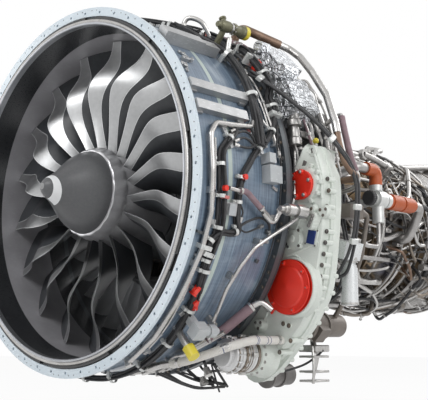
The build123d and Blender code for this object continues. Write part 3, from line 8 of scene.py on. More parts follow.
import bpy
import numpy as np
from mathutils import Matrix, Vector

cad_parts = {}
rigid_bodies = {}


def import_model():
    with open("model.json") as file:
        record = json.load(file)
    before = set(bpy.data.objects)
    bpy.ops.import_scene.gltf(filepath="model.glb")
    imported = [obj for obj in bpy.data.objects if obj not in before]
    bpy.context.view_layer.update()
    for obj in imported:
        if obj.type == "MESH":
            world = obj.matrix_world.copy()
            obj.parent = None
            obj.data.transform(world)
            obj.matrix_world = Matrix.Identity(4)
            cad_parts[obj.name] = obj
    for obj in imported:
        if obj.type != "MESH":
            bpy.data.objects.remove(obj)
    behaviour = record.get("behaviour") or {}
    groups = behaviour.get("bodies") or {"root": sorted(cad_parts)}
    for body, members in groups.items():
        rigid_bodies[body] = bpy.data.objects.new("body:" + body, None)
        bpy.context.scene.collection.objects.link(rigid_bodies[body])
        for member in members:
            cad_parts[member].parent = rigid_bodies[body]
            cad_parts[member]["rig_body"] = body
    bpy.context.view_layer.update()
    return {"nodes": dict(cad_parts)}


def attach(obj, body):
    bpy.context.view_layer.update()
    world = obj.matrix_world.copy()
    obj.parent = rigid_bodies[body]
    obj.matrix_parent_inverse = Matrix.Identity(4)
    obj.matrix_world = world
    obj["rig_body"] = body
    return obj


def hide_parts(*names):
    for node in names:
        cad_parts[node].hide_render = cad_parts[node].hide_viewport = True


logging.basicConfig(level=logging.INFO, format="%(message)s")
LOG = logging.getLogger("scene")

Colour = Tuple[float, float, float]
Point = Sequence[float]
Place = Tuple[float, float, float]
Value = Union[float, Colour, bpy.types.NodeSocket]

# Y runs aft along the shaft, +Z is up, +X is the gearbox side. Metres throughout.
FAN_TIP_R = 0.703
BLADE_COUNT = 18
CASE_R = 0.768
CASE_TAPER_Y = 0.26
CASE_END = 0.5
CASE_REAR_R = 0.759
FLANGE_R = 0.79
FLANGE_END = 0.537
EXIT_R = 0.728
AFT = np.array([0.0, 1.0, 0.0])
FORWARD = -AFT
SQUARE = np.eye(3)


class Body(Enum):
    """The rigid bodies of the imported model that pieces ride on."""

    FRAME = "engine_frame"
    FAN = "fan_rotor"


# Geometry helpers


def polar(radius: float, angle: float, y: float = 0.0) -> np.ndarray:
    """Point at a radius and an angle in degrees, from +X towards +Z, at station y.

    Args:
        radius: distance from the shaft line.
        angle: degrees from +X towards +Z.
        y: station along the shaft.

    Returns:
        The point as an array of three numbers.
    """
    a = math.radians(angle)
    return np.array([radius * math.cos(a), y, radius * math.sin(a)])


def polars(*places: Sequence[float]) -> List[np.ndarray]:
    """Points at several (radius, angle, station) places."""
    return [polar(*place) for place in places]


def vec(x: float, y: float, z: float) -> np.ndarray:
    """The three numbers as an array."""
    return np.array([x, y, z])


def case_radius(y: float) -> float:
    """Outer radius of the fan case, its rear flange and the exit case.

    Args:
        y: station along the shaft.

    Returns:
        The radius in metres.
    """
    if y < CASE_TAPER_Y:
        return CASE_R
    if y < CASE_END:
        return CASE_R + (CASE_REAR_R - CASE_R) * (y - CASE_TAPER_Y) / (CASE_END - CASE_TAPER_Y)
    if y < FLANGE_END:
        return FLANGE_R
    return EXIT_R


def unit(v: np.ndarray) -> np.ndarray:
    """The vector scaled to length one."""
    return v / max(float(np.linalg.norm(v)), 1e-12)


def smooth_path(points: Sequence[Point], step: float = 0.012) -> np.ndarray:
    """Evenly stepped points on a Catmull-Rom curve through the given ones.

    Args:
        points: control points, at least two.
        step: rough spacing of the result in metres.

    Returns:
        Array of points, ends included.
    """
    p = np.asarray(points, float)
    if len(p) == 2:
        count = max(2, int(np.linalg.norm(p[1] - p[0]) / step) + 1)
        t = np.linspace(0, 1, count)[:, None]
        return p[0] * (1 - t) + p[1] * t
    ext = np.vstack([2 * p[0] - p[1], p, 2 * p[-1] - p[-2]])
    out = []
    for i in range(1, len(ext) - 2):
        a, b, c, d = ext[i - 1], ext[i], ext[i + 1], ext[i + 2]
        count = max(2, int(np.linalg.norm(c - b) / step) + 1)
        t = np.linspace(0, 1, count, endpoint=False)[:, None]
        cubic = (3 * b - a - 3 * c + d) * t**3
        out.append(0.5 * (2 * b + (c - a) * t + (2 * a - 5 * b + 4 * c - d) * t**2 + cubic))
    out.append(p[-1][None])
    return np.vstack(out)


def frames_along(path: np.ndarray) -> Tuple[np.ndarray, np.ndarray, np.ndarray]:
    """Directions along a path, carried along it without twist.

    Args:
        path: array of points.

    Returns:
        Unit tangents, normals and sides, one row to a point.
    """
    tangents = np.gradient(path, axis=0)
    tangents /= np.maximum(np.linalg.norm(tangents, axis=1, keepdims=True), 1e-12)
    seed = vec(0.0, 0.0, 1.0) if abs(tangents[0][2]) < 0.9 else vec(1.0, 0.0, 0.0)
    normal = unit(np.cross(tangents[0], seed))
    normals = [normal]
    for t in tangents[1:]:
        normal = unit(normal - t * float(normal @ t))
        normals.append(normal)
    normals = np.array(normals)
    return tangents, normals, np.cross(tangents, normals)


class Builder:
    """Collects vertices, faces and UVs of one piece, then makes its mesh object."""

    def __init__(self) -> None:
        """Starts with nothing collected."""
        self.vertices: List[np.ndarray] = []
        self.faces: List[np.ndarray] = []
        self.uvs: List[np.ndarray] = []
        self.masks: List[np.ndarray] = []
        self.count = 0

    def grid(
        self, points: np.ndarray, wrap_u: bool = False, wrap_v: bool = False,
        uv: Optional[np.ndarray] = None, mask: Optional[np.ndarray] = None, flip: bool = False,
    ) -> None:
        """Adds a sheet of quads over a grid of points.

        Args:
            points: array (u, v, 3).
            wrap_u: join the last row to the first.
            wrap_v: join the last column to the first.
            uv: array (u, v, 2) of coordinates in metres.
            mask: array (u, v) of values for the piece's mask attribute.
            flip: turn the faces over.
        """
        nu, nv = points.shape[:2]
        iu = np.arange(nu if wrap_u else nu - 1)
        iv = np.arange(nv if wrap_v else nv - 1)
        a, b = np.meshgrid(iu, iv, indexing="ij")
        a2, b2 = (a + 1) % nu, (b + 1) % nv
        quads = np.stack([a * nv + b, a2 * nv + b, a2 * nv + b2, a * nv + b2], -1).reshape(-1, 4)
        if flip:
            quads = quads[:, ::-1]
        self.vertices.append(points.reshape(-1, 3))
        self.faces.append(quads + self.count)
        size = nu * nv
        self.uvs.append(np.zeros((size, 2)) if uv is None else uv.reshape(-1, 2))
        self.masks.append(np.zeros(size) if mask is None else mask.reshape(-1))
        self.count += size

    def tube(self, path: np.ndarray, radius: Union[float, np.ndarray], sides: int = 12) -> None:
        """Adds a closed round tube: each ring is path + radius * (normal * cos + side * sin).

        Args:
            path: array of points; the UV runs along it and round the tube, in metres.
            radius: one radius, or one to a point.
            sides: facets round the tube.
        """
        path = np.asarray(path, float)
        radius = np.broadcast_to(np.asarray(radius, float), (len(path),))
        _, normal, side = frames_along(path)
        angle = np.linspace(0, 2 * math.pi, sides, endpoint=False)
        ring = normal[:, None] * np.cos(angle)[None, :, None] + side[:, None] * np.sin(angle)[None, :, None]
        points = path[:, None] + ring * radius[:, None, None]
        reach = np.concatenate([[0], np.cumsum(np.linalg.norm(np.diff(path, axis=0), axis=1))])
        uv = np.stack(np.broadcast_arrays(reach[:, None], (angle * radius.mean())[None, :]), -1)
        points = np.concatenate([path[:1, None].repeat(sides, 1), points, path[-1:, None].repeat(sides, 1)])
        self.grid(points, wrap_v=True, uv=np.concatenate([uv[:1], uv, uv[-1:]]))

    def pipe(self, points: Sequence[Point], radius: float, sides: int = 12,
             step: float = 0.012) -> np.ndarray:
        """Adds a round tube along a smooth curve.

        Args:
            points: places that the curve passes through.
            radius: the tube's radius.
            sides: facets round the tube.
            step: spacing of its rings in metres.

        Returns:
            The curve's points.
        """
        path = smooth_path(points, step)
        self.tube(path, radius, sides)
        return path

    def lathe(
        self, origin: Point, axis: Point, profile: Sequence[Tuple[float, float]], sides: int = 24,
        wave: Optional[Callable[[np.ndarray], np.ndarray]] = None,
    ) -> None:
        """Turns a profile about an axis: origin + axis * height + radius * (cos, sin) across it.

        Args:
            origin: point where height is zero.
            axis: direction of height.
            profile: (radius, height) points in order.
            sides: facets round the axis.
            wave: optional scale of the radius by angle.
        """
        axis_line = unit(np.asarray(axis, float))
        seed = vec(0.0, 0.0, 1.0) if abs(axis_line[2]) < 0.9 else vec(1.0, 0.0, 0.0)
        first = unit(np.cross(axis_line, seed))
        second = np.cross(axis_line, first)
        angle = np.linspace(0, 2 * math.pi, sides, endpoint=False)
        scale = np.ones(sides) if wave is None else wave(angle)
        ring = (first[None] * np.cos(angle)[:, None] + second[None] * np.sin(angle)[:, None]) * scale[:, None]
        p = np.asarray(profile, float)
        centres = np.asarray(origin, float) + p[:, 1][:, None, None] * axis_line
        points = centres + p[:, 0][:, None, None] * ring[None]
        uv = np.stack(np.broadcast_arrays(p[:, 1][:, None], (angle * 0.1)[None, :]), -1)
        self.grid(points, wrap_v=True, uv=uv)

    def torus(self, y: float, radius: float, thick: float, around: int = 96, sides: int = 8) -> None:
        """Adds a round ring about the shaft: its circle plus thick * (outward * cos + aft * sin).

        Args:
            y: station of its circle.
            radius: radius of its circle.
            thick: radius of its tube.
            around: facets round the shaft.
            sides: facets of the tube.
        """
        ring = np.linspace(0, 2 * math.pi, around, endpoint=False)
        turn = np.linspace(0, 2 * math.pi, sides, endpoint=False)[None, :, None]
        out = np.stack([np.cos(ring), np.zeros_like(ring), np.sin(ring)], -1)[:, None]
        points = out * (radius + thick * np.cos(turn)) + AFT * (y + thick * np.sin(turn))
        self.grid(points, wrap_u=True, wrap_v=True, flip=True)

    def bolt(self, origin: Point, axis: Point, size: float) -> None:
        """Adds a hexagon head on a washer.

        Args:
            origin: place of the washer's seat.
            axis: direction that the head stands in.
            size: the head's radius to its corners.
        """
        tall = size * 1.1
        self.lathe(origin, axis, [(0, 0), (size * 1.5, 0), (size * 1.5, size * 0.25), (0, size * 0.25)], 12)
        self.lathe(origin, axis, [(size, 0), (size, tall * 0.85), (size * 0.85, tall), (0, tall)], 6)

    def box(self, centre: Point, axes: Sequence[Point], size: Point, bevel: float = 0.0) -> None:
        """Adds a block with chamfered edges.

        Args:
            centre: middle of the block.
            axes: directions of its three sizes, square to each other.
            size: its three sizes.
            bevel: width of the chamfer.
        """
        c = np.asarray(centre, float)
        ax = [unit(np.asarray(a, float)) for a in axes]
        hx, hy, hz = (s / 2 for s in size)
        bevel = min(bevel, hx * 0.9, hy * 0.9, hz * 0.9)
        levels = [(-hz, bevel), (-hz + bevel, 0.0), (hz - bevel, 0.0), (hz, bevel)]
        rows = []
        for z, inset in levels:
            x, y = hx - inset, hy - inset
            k = bevel if inset == 0.0 else bevel * 0.5
            ring = [(x - k, -y), (x, -y + k), (x, y - k), (x - k, y), (-x + k, y), (-x, y - k), (-x, -y + k),
                    (-x + k, -y)]
            rows.append([c + ax[0] * px + ax[1] * py + ax[2] * z for px, py in ring])
        bottom = [c + ax[2] * -hz] * 8
        top = [c + ax[2] * hz] * 8
        self.grid(np.array([bottom, *rows, top]), wrap_v=True)

    def build(
        self, name: str, material: bpy.types.Material, body: Body,
        sharp: float = 32.0, replaces: Sequence[str] = (),
    ) -> bpy.types.Object:
        """Makes the mesh object, with its UVs and its mask attribute.

        Args:
            name: name of the piece.
            material: its one material.
            body: body that it rides on.
            sharp: angle in degrees past which an edge stays sharp.
            replaces: nodes that the piece stands for.

        Returns:
            The piece's object.
        """
        vertices = np.vstack(self.vertices).astype(np.float32)
        faces = np.vstack(self.faces).astype(np.int32)
        mesh = bpy.data.meshes.new(name)
        mesh.vertices.add(len(vertices))
        mesh.vertices.foreach_set("co", vertices.ravel())
        mesh.loops.add(faces.size)
        mesh.loops.foreach_set("vertex_index", faces.ravel())
        mesh.polygons.add(len(faces))
        mesh.polygons.foreach_set("loop_start", np.arange(0, faces.size, 4, dtype=np.int32))
        mesh.polygons.foreach_set("loop_total", np.full(len(faces), 4, np.int32))
        uv = np.vstack(self.uvs)[faces.ravel()].astype(np.float32)
        mesh.uv_layers.new(name="Run").data.foreach_set("uv", uv.ravel())
        mask = mesh.attributes.new("Mask", "FLOAT", "POINT")
        mask.data.foreach_set("value", np.concatenate(self.masks).astype(np.float32))
        mesh.update(calc_edges=True)
        mesh.validate()
        mesh.polygons.foreach_set("use_smooth", np.ones(len(mesh.polygons), bool))
        mesh.set_sharp_from_angle(angle=math.radians(sharp))
        mesh.materials.append(material)
        obj = bpy.data.objects.new(name, mesh)
        bpy.context.scene.collection.objects.link(obj)
        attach(obj, body.value)
        if replaces:
            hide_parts(*replaces)
        LOG.info("%s: %d faces on %s", name, len(faces), body.value)
        return obj


def builders(count: int) -> List[Builder]:
    """New builders, one to a piece."""
    return [Builder() for _ in range(count)]


# Materials


class Nodes:
    """Short way to build a node tree: each call adds one node and links its inputs."""

    def __init__(self, tree: bpy.types.NodeTree) -> None:
        """Starts on a node tree.

        Args:
            tree: the tree that the nodes are added to.
        """
        self.tree = tree

    def add(self, kind: str, inputs: Optional[dict] = None, **settings: object) -> bpy.types.Node:
        """Adds a node.

        Args:
            kind: Blender's type name of the node.
            inputs: socket name or index, each with a value or another socket.
            settings: properties of the node itself.

        Returns:
            The node.
        """
        node = self.tree.nodes.new(kind)
        for key, value in settings.items():
            setattr(node, key, value)
        for key, value in (inputs or {}).items():
            self.feed(value, node.inputs[key])
        return node

    def feed(self, value: Value, socket: bpy.types.NodeSocket) -> None:
        """Links a socket to an input, or sets the input to a plain value.

        Args:
            value: socket, number or colour.
            socket: the input.
        """
        if isinstance(value, bpy.types.NodeSocket):
            self.tree.links.new(value, socket)
        elif socket.type == "RGBA" and len(value) == 3:
            socket.default_value = (*value, 1.0)
        else:
            socket.default_value = value

    def math(self, operation: str, a: Value, b: Value = 0.0,
             c: Optional[float] = None) -> bpy.types.NodeSocket:
        """Adds a Math node.

        Args:
            operation: Blender's name of the operation.
            a: first operand.
            b: second operand.
            c: third operand of MULTIPLY_ADD.

        Returns:
            Its output.
        """
        operands = {0: a, 1: b} if c is None else {0: a, 1: b, 2: c}
        return self.add("ShaderNodeMath", operands, operation=operation).outputs[0]

    def mix(self, factor: Value, a: Value, b: Value) -> bpy.types.NodeSocket:
        """Colour between a and b: a where the factor is zero, b where it is one."""
        return self.add("ShaderNodeMix", {"Factor": factor, 6: a, 7: b}, data_type="RGBA").outputs[2]

    def tint(self, mask: Value, share: float, under: Value, over: Colour) -> bpy.types.NodeSocket:
        """Colour under with a share of the colour over it where the mask is one."""
        return self.mix(self.math("MULTIPLY", mask, share), under, over)

    def noise(self, place: Value, scale: float, detail: float,
              distortion: float = 0.0) -> bpy.types.NodeSocket:
        """Value of a noise texture with a scale in cycles per metre."""
        inputs = {"Vector": place, "Scale": scale, "Detail": detail, "Distortion": distortion}
        return self.add("ShaderNodeTexNoise", inputs).outputs[0]

    def distance(self, a: Value, b: Value) -> bpy.types.NodeSocket:
        """How far a is from b, without its sign."""
        return self.math("ABSOLUTE", self.math("SUBTRACT", a, b))

    def ramp(self, factor: Value, stops: Sequence[Tuple[float, float]]) -> bpy.types.NodeSocket:
        """Adds a grey ramp.

        Args:
            factor: what the ramp reads.
            stops: (position, value) of each stop.

        Returns:
            Its output.
        """
        node = self.add("ShaderNodeValToRGB", {"Fac": factor})
        elements = node.color_ramp.elements
        while len(elements) < len(stops):
            elements.new(0.5)
        for element, (position, value) in zip(elements, stops):
            element.position = position
            element.color = (value, value, value, 1.0)
        return node.outputs["Color"]


def new_group(
    name: str, inputs: Sequence[str], outputs: Sequence[str],
) -> Tuple[Nodes, bpy.types.Node, bpy.types.Node]:
    """Starts a shared shader node group whose first input is a position.

    Args:
        name: the group's name.
        inputs: names of its further inputs, each a number.
        outputs: names of its outputs, each a number.

    Returns:
        The group's nodes, its input node and its output node.
    """
    group = bpy.data.node_groups.new(name, "ShaderNodeTree")
    group.interface.new_socket("Vector", in_out="INPUT", socket_type="NodeSocketVector")
    for way, names in (("INPUT", inputs), ("OUTPUT", outputs)):
        for socket in names:
            group.interface.new_socket(socket, in_out=way, socket_type="NodeSocketFloat")
    n = Nodes(group)
    return n, n.add("NodeGroupInput"), n.add("NodeGroupOutput")


def wear_group() -> bpy.types.NodeTree:
    """Shared group: broad mottle, fine grain and scratch masks from a position.

    Returns:
        The group, made on the first call.
    """
    found = bpy.data.node_groups.get("SurfaceWear")
    if found:
        return found
    n, start, end = new_group("SurfaceWear", ("Broad", "Fine"), ("Mottle", "Grain", "Scratch"))
    place, broad_scale, fine_scale = start.outputs[:3]
    broad = n.noise(place, broad_scale, 5.0)
    stretch = {"Vector": place, "Scale": (9.0, 1.0, 5.0), "Rotation": (0.3, 0.5, 0.2)}
    lines = n.noise(n.add("ShaderNodeMapping", stretch).outputs[0], 40.0, 2.0)
    n.feed(n.ramp(broad, [(0.36, 0.0), (0.66, 1.0)]), end.inputs["Mottle"])
    n.feed(n.noise(place, fine_scale, 3.0), end.inputs["Grain"])
    n.feed(n.ramp(lines, [(0.6, 0.0), (0.68, 1.0)]), end.inputs["Scratch"])
    return n.tree


def barrel_group() -> bpy.types.NodeTree:
    """Shared group: angle, station and radius about the shaft line, from a position.

    Returns:
        The group, made on the first call.
    """
    found = bpy.data.node_groups.get("BarrelCoordinates")
    if found:
        return found
    n, start, end = new_group("BarrelCoordinates", (), ("Angle", "Station", "Radius"))
    x, y, z = n.add("ShaderNodeSeparateXYZ", {0: start.outputs[0]}).outputs
    square = n.math("ADD", n.math("MULTIPLY", x, x), n.math("MULTIPLY", z, z))
    n.feed(n.math("ARCTAN2", z, x), end.inputs["Angle"])
    n.feed(y, end.inputs["Station"])
    n.feed(n.math("SQRT", square), end.inputs["Radius"])
    return n.tree


@dataclass(frozen=True)
class Finish:
    """How one surface looks.

    Attributes:
        name: material name.
        base: main colour.
        second: colour that the mottle drifts to.
        roughness: middle roughness.
        metallic: 0 for paint and rubber, 1 for bare metal.
        broad: mottle size, in cycles per metre.
        fine: grain size, in cycles per metre.
        bump: grain height factor.
        mottle: share of the second colour.
        scratch: share of the scratch mask in colour.
        coat: clear coat weight.
        crumple: strength of foil creases.
        rings: spacing in metres of ribs along the UV run, 0 for none.
        heat: share of straw and blue heat tint.
    """

    name: str
    base: Colour
    second: Colour
    roughness: float = 0.4
    metallic: float = 0.0
    broad: float = 9.0
    fine: float = 260.0
    bump: float = 0.08
    mottle: float = 0.5
    scratch: float = 0.12
    coat: float = 0.0
    crumple: float = 0.0
    rings: float = 0.0
    heat: float = 0.0


class Paints:
    """Makes each finish once and hands out its material."""

    def __init__(self) -> None:
        """Starts with no material made."""
        self.made: Dict[str, bpy.types.Material] = {}

    def new(self, name: str) -> Tuple[Nodes, bpy.types.Node, bpy.types.NodeSocket]:
        """Starts a material.

        Args:
            name: the material's name.

        Returns:
            Its nodes, its Principled shader and the Object coordinates.
        """
        material = self.made[name] = bpy.data.materials.new(name)
        material.use_nodes = True
        n = Nodes(material.node_tree)
        return n, n.tree.nodes["Principled BSDF"], n.add("ShaderNodeTexCoord").outputs["Object"]

    @staticmethod
    def coat(n: Nodes, shader: bpy.types.Node, colour: Value, rough: Value, height: Value,
             strength: float, deep: float = 0.001) -> None:
        """Feeds the shader.

        Args:
            n: the material's nodes.
            shader: its Principled shader.
            colour: base colour.
            rough: roughness.
            height: what the bump reads.
            strength: strength of the bump.
            deep: the bump's distance in metres.
        """
        bump = n.add("ShaderNodeBump", {"Strength": strength, "Distance": deep, "Height": height})
        n.feed(colour, shader.inputs["Base Color"])
        n.feed(rough, shader.inputs["Roughness"])
        n.feed(bump.outputs[0], shader.inputs["Normal"])

    @staticmethod
    def barrel(n: Nodes, place: bpy.types.NodeSocket) -> Sequence[bpy.types.NodeSocket]:
        """Angle, station and radius about the shaft line, inside one material."""
        return n.add("ShaderNodeGroup", {0: place}, node_tree=barrel_group()).outputs

    def get(self, finish: Finish) -> bpy.types.Material:
        """The material of a finish.

        Args:
            finish: the look to make.

        Returns:
            The material, made on its first use.
        """
        if finish.name in self.made:
            return self.made[finish.name]
        n, shader, place = self.new(finish.name)
        wear = n.add("ShaderNodeGroup", node_tree=wear_group())
        for key, value in (("Vector", place), ("Broad", finish.broad), ("Fine", finish.fine)):
            n.feed(value, wear.inputs[key])
        mottle, grain, scratch = wear.outputs
        colour = n.tint(mottle, finish.mottle, finish.base, finish.second)
        if finish.heat:
            heat = n.noise(place, 5.0, 2.0)
            colour = n.tint(n.ramp(heat, [(0.42, 0.0), (0.6, 1.0)]), finish.heat, colour, HEAT_STRAW)
            colour = n.tint(n.ramp(heat, [(0.3, 1.0), (0.42, 0.0)]), finish.heat * 0.6, colour, HEAT_BLUE)
        light = tuple(min(1.0, c * 1.5 + 0.06) for c in finish.base)
        colour = n.tint(scratch, finish.scratch, colour, light)
        shader.inputs["Metallic"].default_value = finish.metallic
        shader.inputs["Coat Weight"].default_value = finish.coat
        shader.inputs["Coat Roughness"].default_value = 0.12
        height = grain
        if finish.crumple:
            edges = {"Vector": place, "Scale": 34.0}
            creases = n.add("ShaderNodeTexVoronoi", edges, feature="DISTANCE_TO_EDGE").outputs[0]
            folds = n.math("MULTIPLY", n.noise(place, 26.0, 4.0, 1.4), 12 * finish.crumple)
            sharp = n.math("MULTIPLY", n.ramp(creases, [(0.0, 1.0), (0.12, 0.0)]), 5 * finish.crumple)
            height = n.math("ADD", folds, sharp)
        if finish.rings:
            along = n.add("ShaderNodeUVMap", uv_map="Run").outputs[0]
            run = n.add("ShaderNodeSeparateXYZ", {0: along}).outputs[0]
            wave = n.math("SINE", n.math("MULTIPLY", run, 2 * math.pi / finish.rings))
            height = n.math("ADD", height, n.math("MULTIPLY", wave, 4.0))
        rough = n.math("MULTIPLY_ADD", grain, 0.24, max(0.03, finish.roughness - 0.12))
        deep = 0.006 if finish.crumple else 0.0012
        self.coat(n, shader, colour, rough, height, min(1.0, finish.bump + finish.crumple), deep)
        return self.made[finish.name]

    def composite(self) -> bpy.types.Material:
        """Woven composite of the fan case: hoop and axial tows, denim-like blotches, one pale stripe.

        Returns:
            The material.
        """
        n, shader, place = self.new("fan_case_composite")
        angle, station, _ = self.barrel(n, place)
        tows = []
        for round_scale, along_scale, share in ((2.2, 120.0, 0.8), (95.0, 5.0, 0.2)):
            run = {0: n.math("MULTIPLY", angle, round_scale), 1: n.math("MULTIPLY", station, along_scale)}
            tows.append(n.math("MULTIPLY", n.noise(n.add("ShaderNodeCombineXYZ", run).outputs[0], 1.0, 4.0),
                               share))
        weave = n.ramp(n.math("ADD", *tows), [(0.36, 0.0), (0.66, 1.0)])
        blotch = n.noise(place, 7.0, 4.0, 0.6)
        colour = n.mix(weave, (0.085, 0.125, 0.185), (0.23, 0.3, 0.38))
        colour = n.tint(n.ramp(blotch, [(0.4, 0.0), (0.66, 1.0)]), 0.55, colour, (0.13, 0.18, 0.245))
        colour = n.tint(n.ramp(blotch, [(0.3, 1.0), (0.42, 0.0)]), 0.5, colour, (0.33, 0.4, 0.46))
        stripe = n.math("LESS_THAN", n.distance(station, STRIPE_Y), STRIPE_HALF)
        shader.inputs["Coat Weight"].default_value = 0.3
        self.coat(n, shader, n.tint(stripe, 0.8, colour, (0.52, 0.6, 0.54)), 0.34, weave, 0.25)
        return self.made["fan_case_composite"]

    def blade(self) -> bpy.types.Material:
        """Fan blade: dark coated body, a brushed sheath where the mask is past one half, and painted
        highlight lines along the leading-edge nose and just inside the sheath's rear edge.

        Returns:
            The material, made on its first use.
        """
        if "fan_blade_sheathed" in self.made:
            return self.made["fan_blade_sheathed"]
        n, shader, place = self.new("fan_blade_sheathed")
        mask = n.add("ShaderNodeAttribute", attribute_name="Mask").outputs["Fac"]
        brushed = n.noise(place, 60.0, 3.0)
        sheath = n.ramp(mask, [(0.49, 0.0), (0.51, 1.0)])
        body = n.mix(brushed, (0.03, 0.033, 0.038), (0.06, 0.064, 0.07))
        metal = n.mix(brushed, (0.38, 0.385, 0.39), (0.5, 0.505, 0.51))
        # Painted highlight: pale, mostly non-metallic lines on the leading-edge nose and just inside the
        # sheath's rear edge.
        nose = n.ramp(mask, [(0.93, 0.0), (0.98, 1.0)])
        joint_highlight = n.ramp(n.distance(mask, 0.535), [(0.022, 1.0), (0.04, 0.0)])
        line = n.math("MAXIMUM", nose, joint_highlight)
        highlight_dull = n.math("MULTIPLY", n.math("MULTIPLY", line, 0.75), sheath)
        n.feed(n.math("SUBTRACT", sheath, highlight_dull), shader.inputs["Metallic"])
        colour = n.mix(line, n.mix(sheath, body, metal), (0.72, 0.73, 0.74))
        seam = n.ramp(n.distance(mask, 0.5), [(0.0, 0.0), (0.06, 1.0)])
        self.coat(n, shader, colour, n.math("MULTIPLY_ADD", brushed, 0.1, 0.33), seam, 0.4, 0.0012)
        return self.made["fan_blade_sheathed"]

    def spinner(self) -> bpy.types.Material:
        """Spinner: dark satin paint, one white spiral tail near the nose, a lighter grey disc at the tip.

        Returns:
            The material.
        """
        n, shader, place = self.new("spinner_paint")
        angle, _, radius = self.barrel(n, place)
        turn = n.math("FRACT", n.math("DIVIDE", n.math("ADD", angle, SPIRAL_START), 2 * math.pi))
        middle = n.math("MULTIPLY_ADD", turn, SPIRAL_RISE, SPIRAL_INNER_R)
        half = n.math("MULTIPLY_ADD", turn, SPIRAL_GROWTH, SPIRAL_THIN)
        inside = n.math("LESS_THAN", n.distance(radius, middle), half)
        shown = n.math("MULTIPLY", inside, n.math("LESS_THAN", turn, SPIRAL_END))
        grain = n.noise(place, 90.0, 4.0)
        paint = n.mix(grain, (0.085, 0.087, 0.092), (0.125, 0.127, 0.132))
        # Lighter grey disc close round the shaft line, at the spinner's tip.
        tipped = n.tint(n.math("LESS_THAN", radius, LIGHT_TIP_R), 0.6, paint, (0.4, 0.4, 0.4))
        colour = n.mix(shown, tipped, (0.86, 0.87, 0.88))
        self.coat(n, shader, colour, n.math("MULTIPLY_ADD", grain, 0.12, 0.3), grain, 0.06)
        return self.made["spinner_paint"]


# Colours of the heat tint, the case's stripe and the spinner's spiral tail
HEAT_STRAW = (0.36, 0.24, 0.12)
HEAT_BLUE = (0.12, 0.14, 0.24)
STRIPE_Y = 0.189
STRIPE_HALF = 0.011
SPIRAL_START = 1.745
SPIRAL_INNER_R = 0.06
SPIRAL_RISE = -0.031
SPIRAL_THIN = 0.0125
SPIRAL_GROWTH = -0.013
SPIRAL_END = 0.66
LIGHT_TIP_R = 0.014

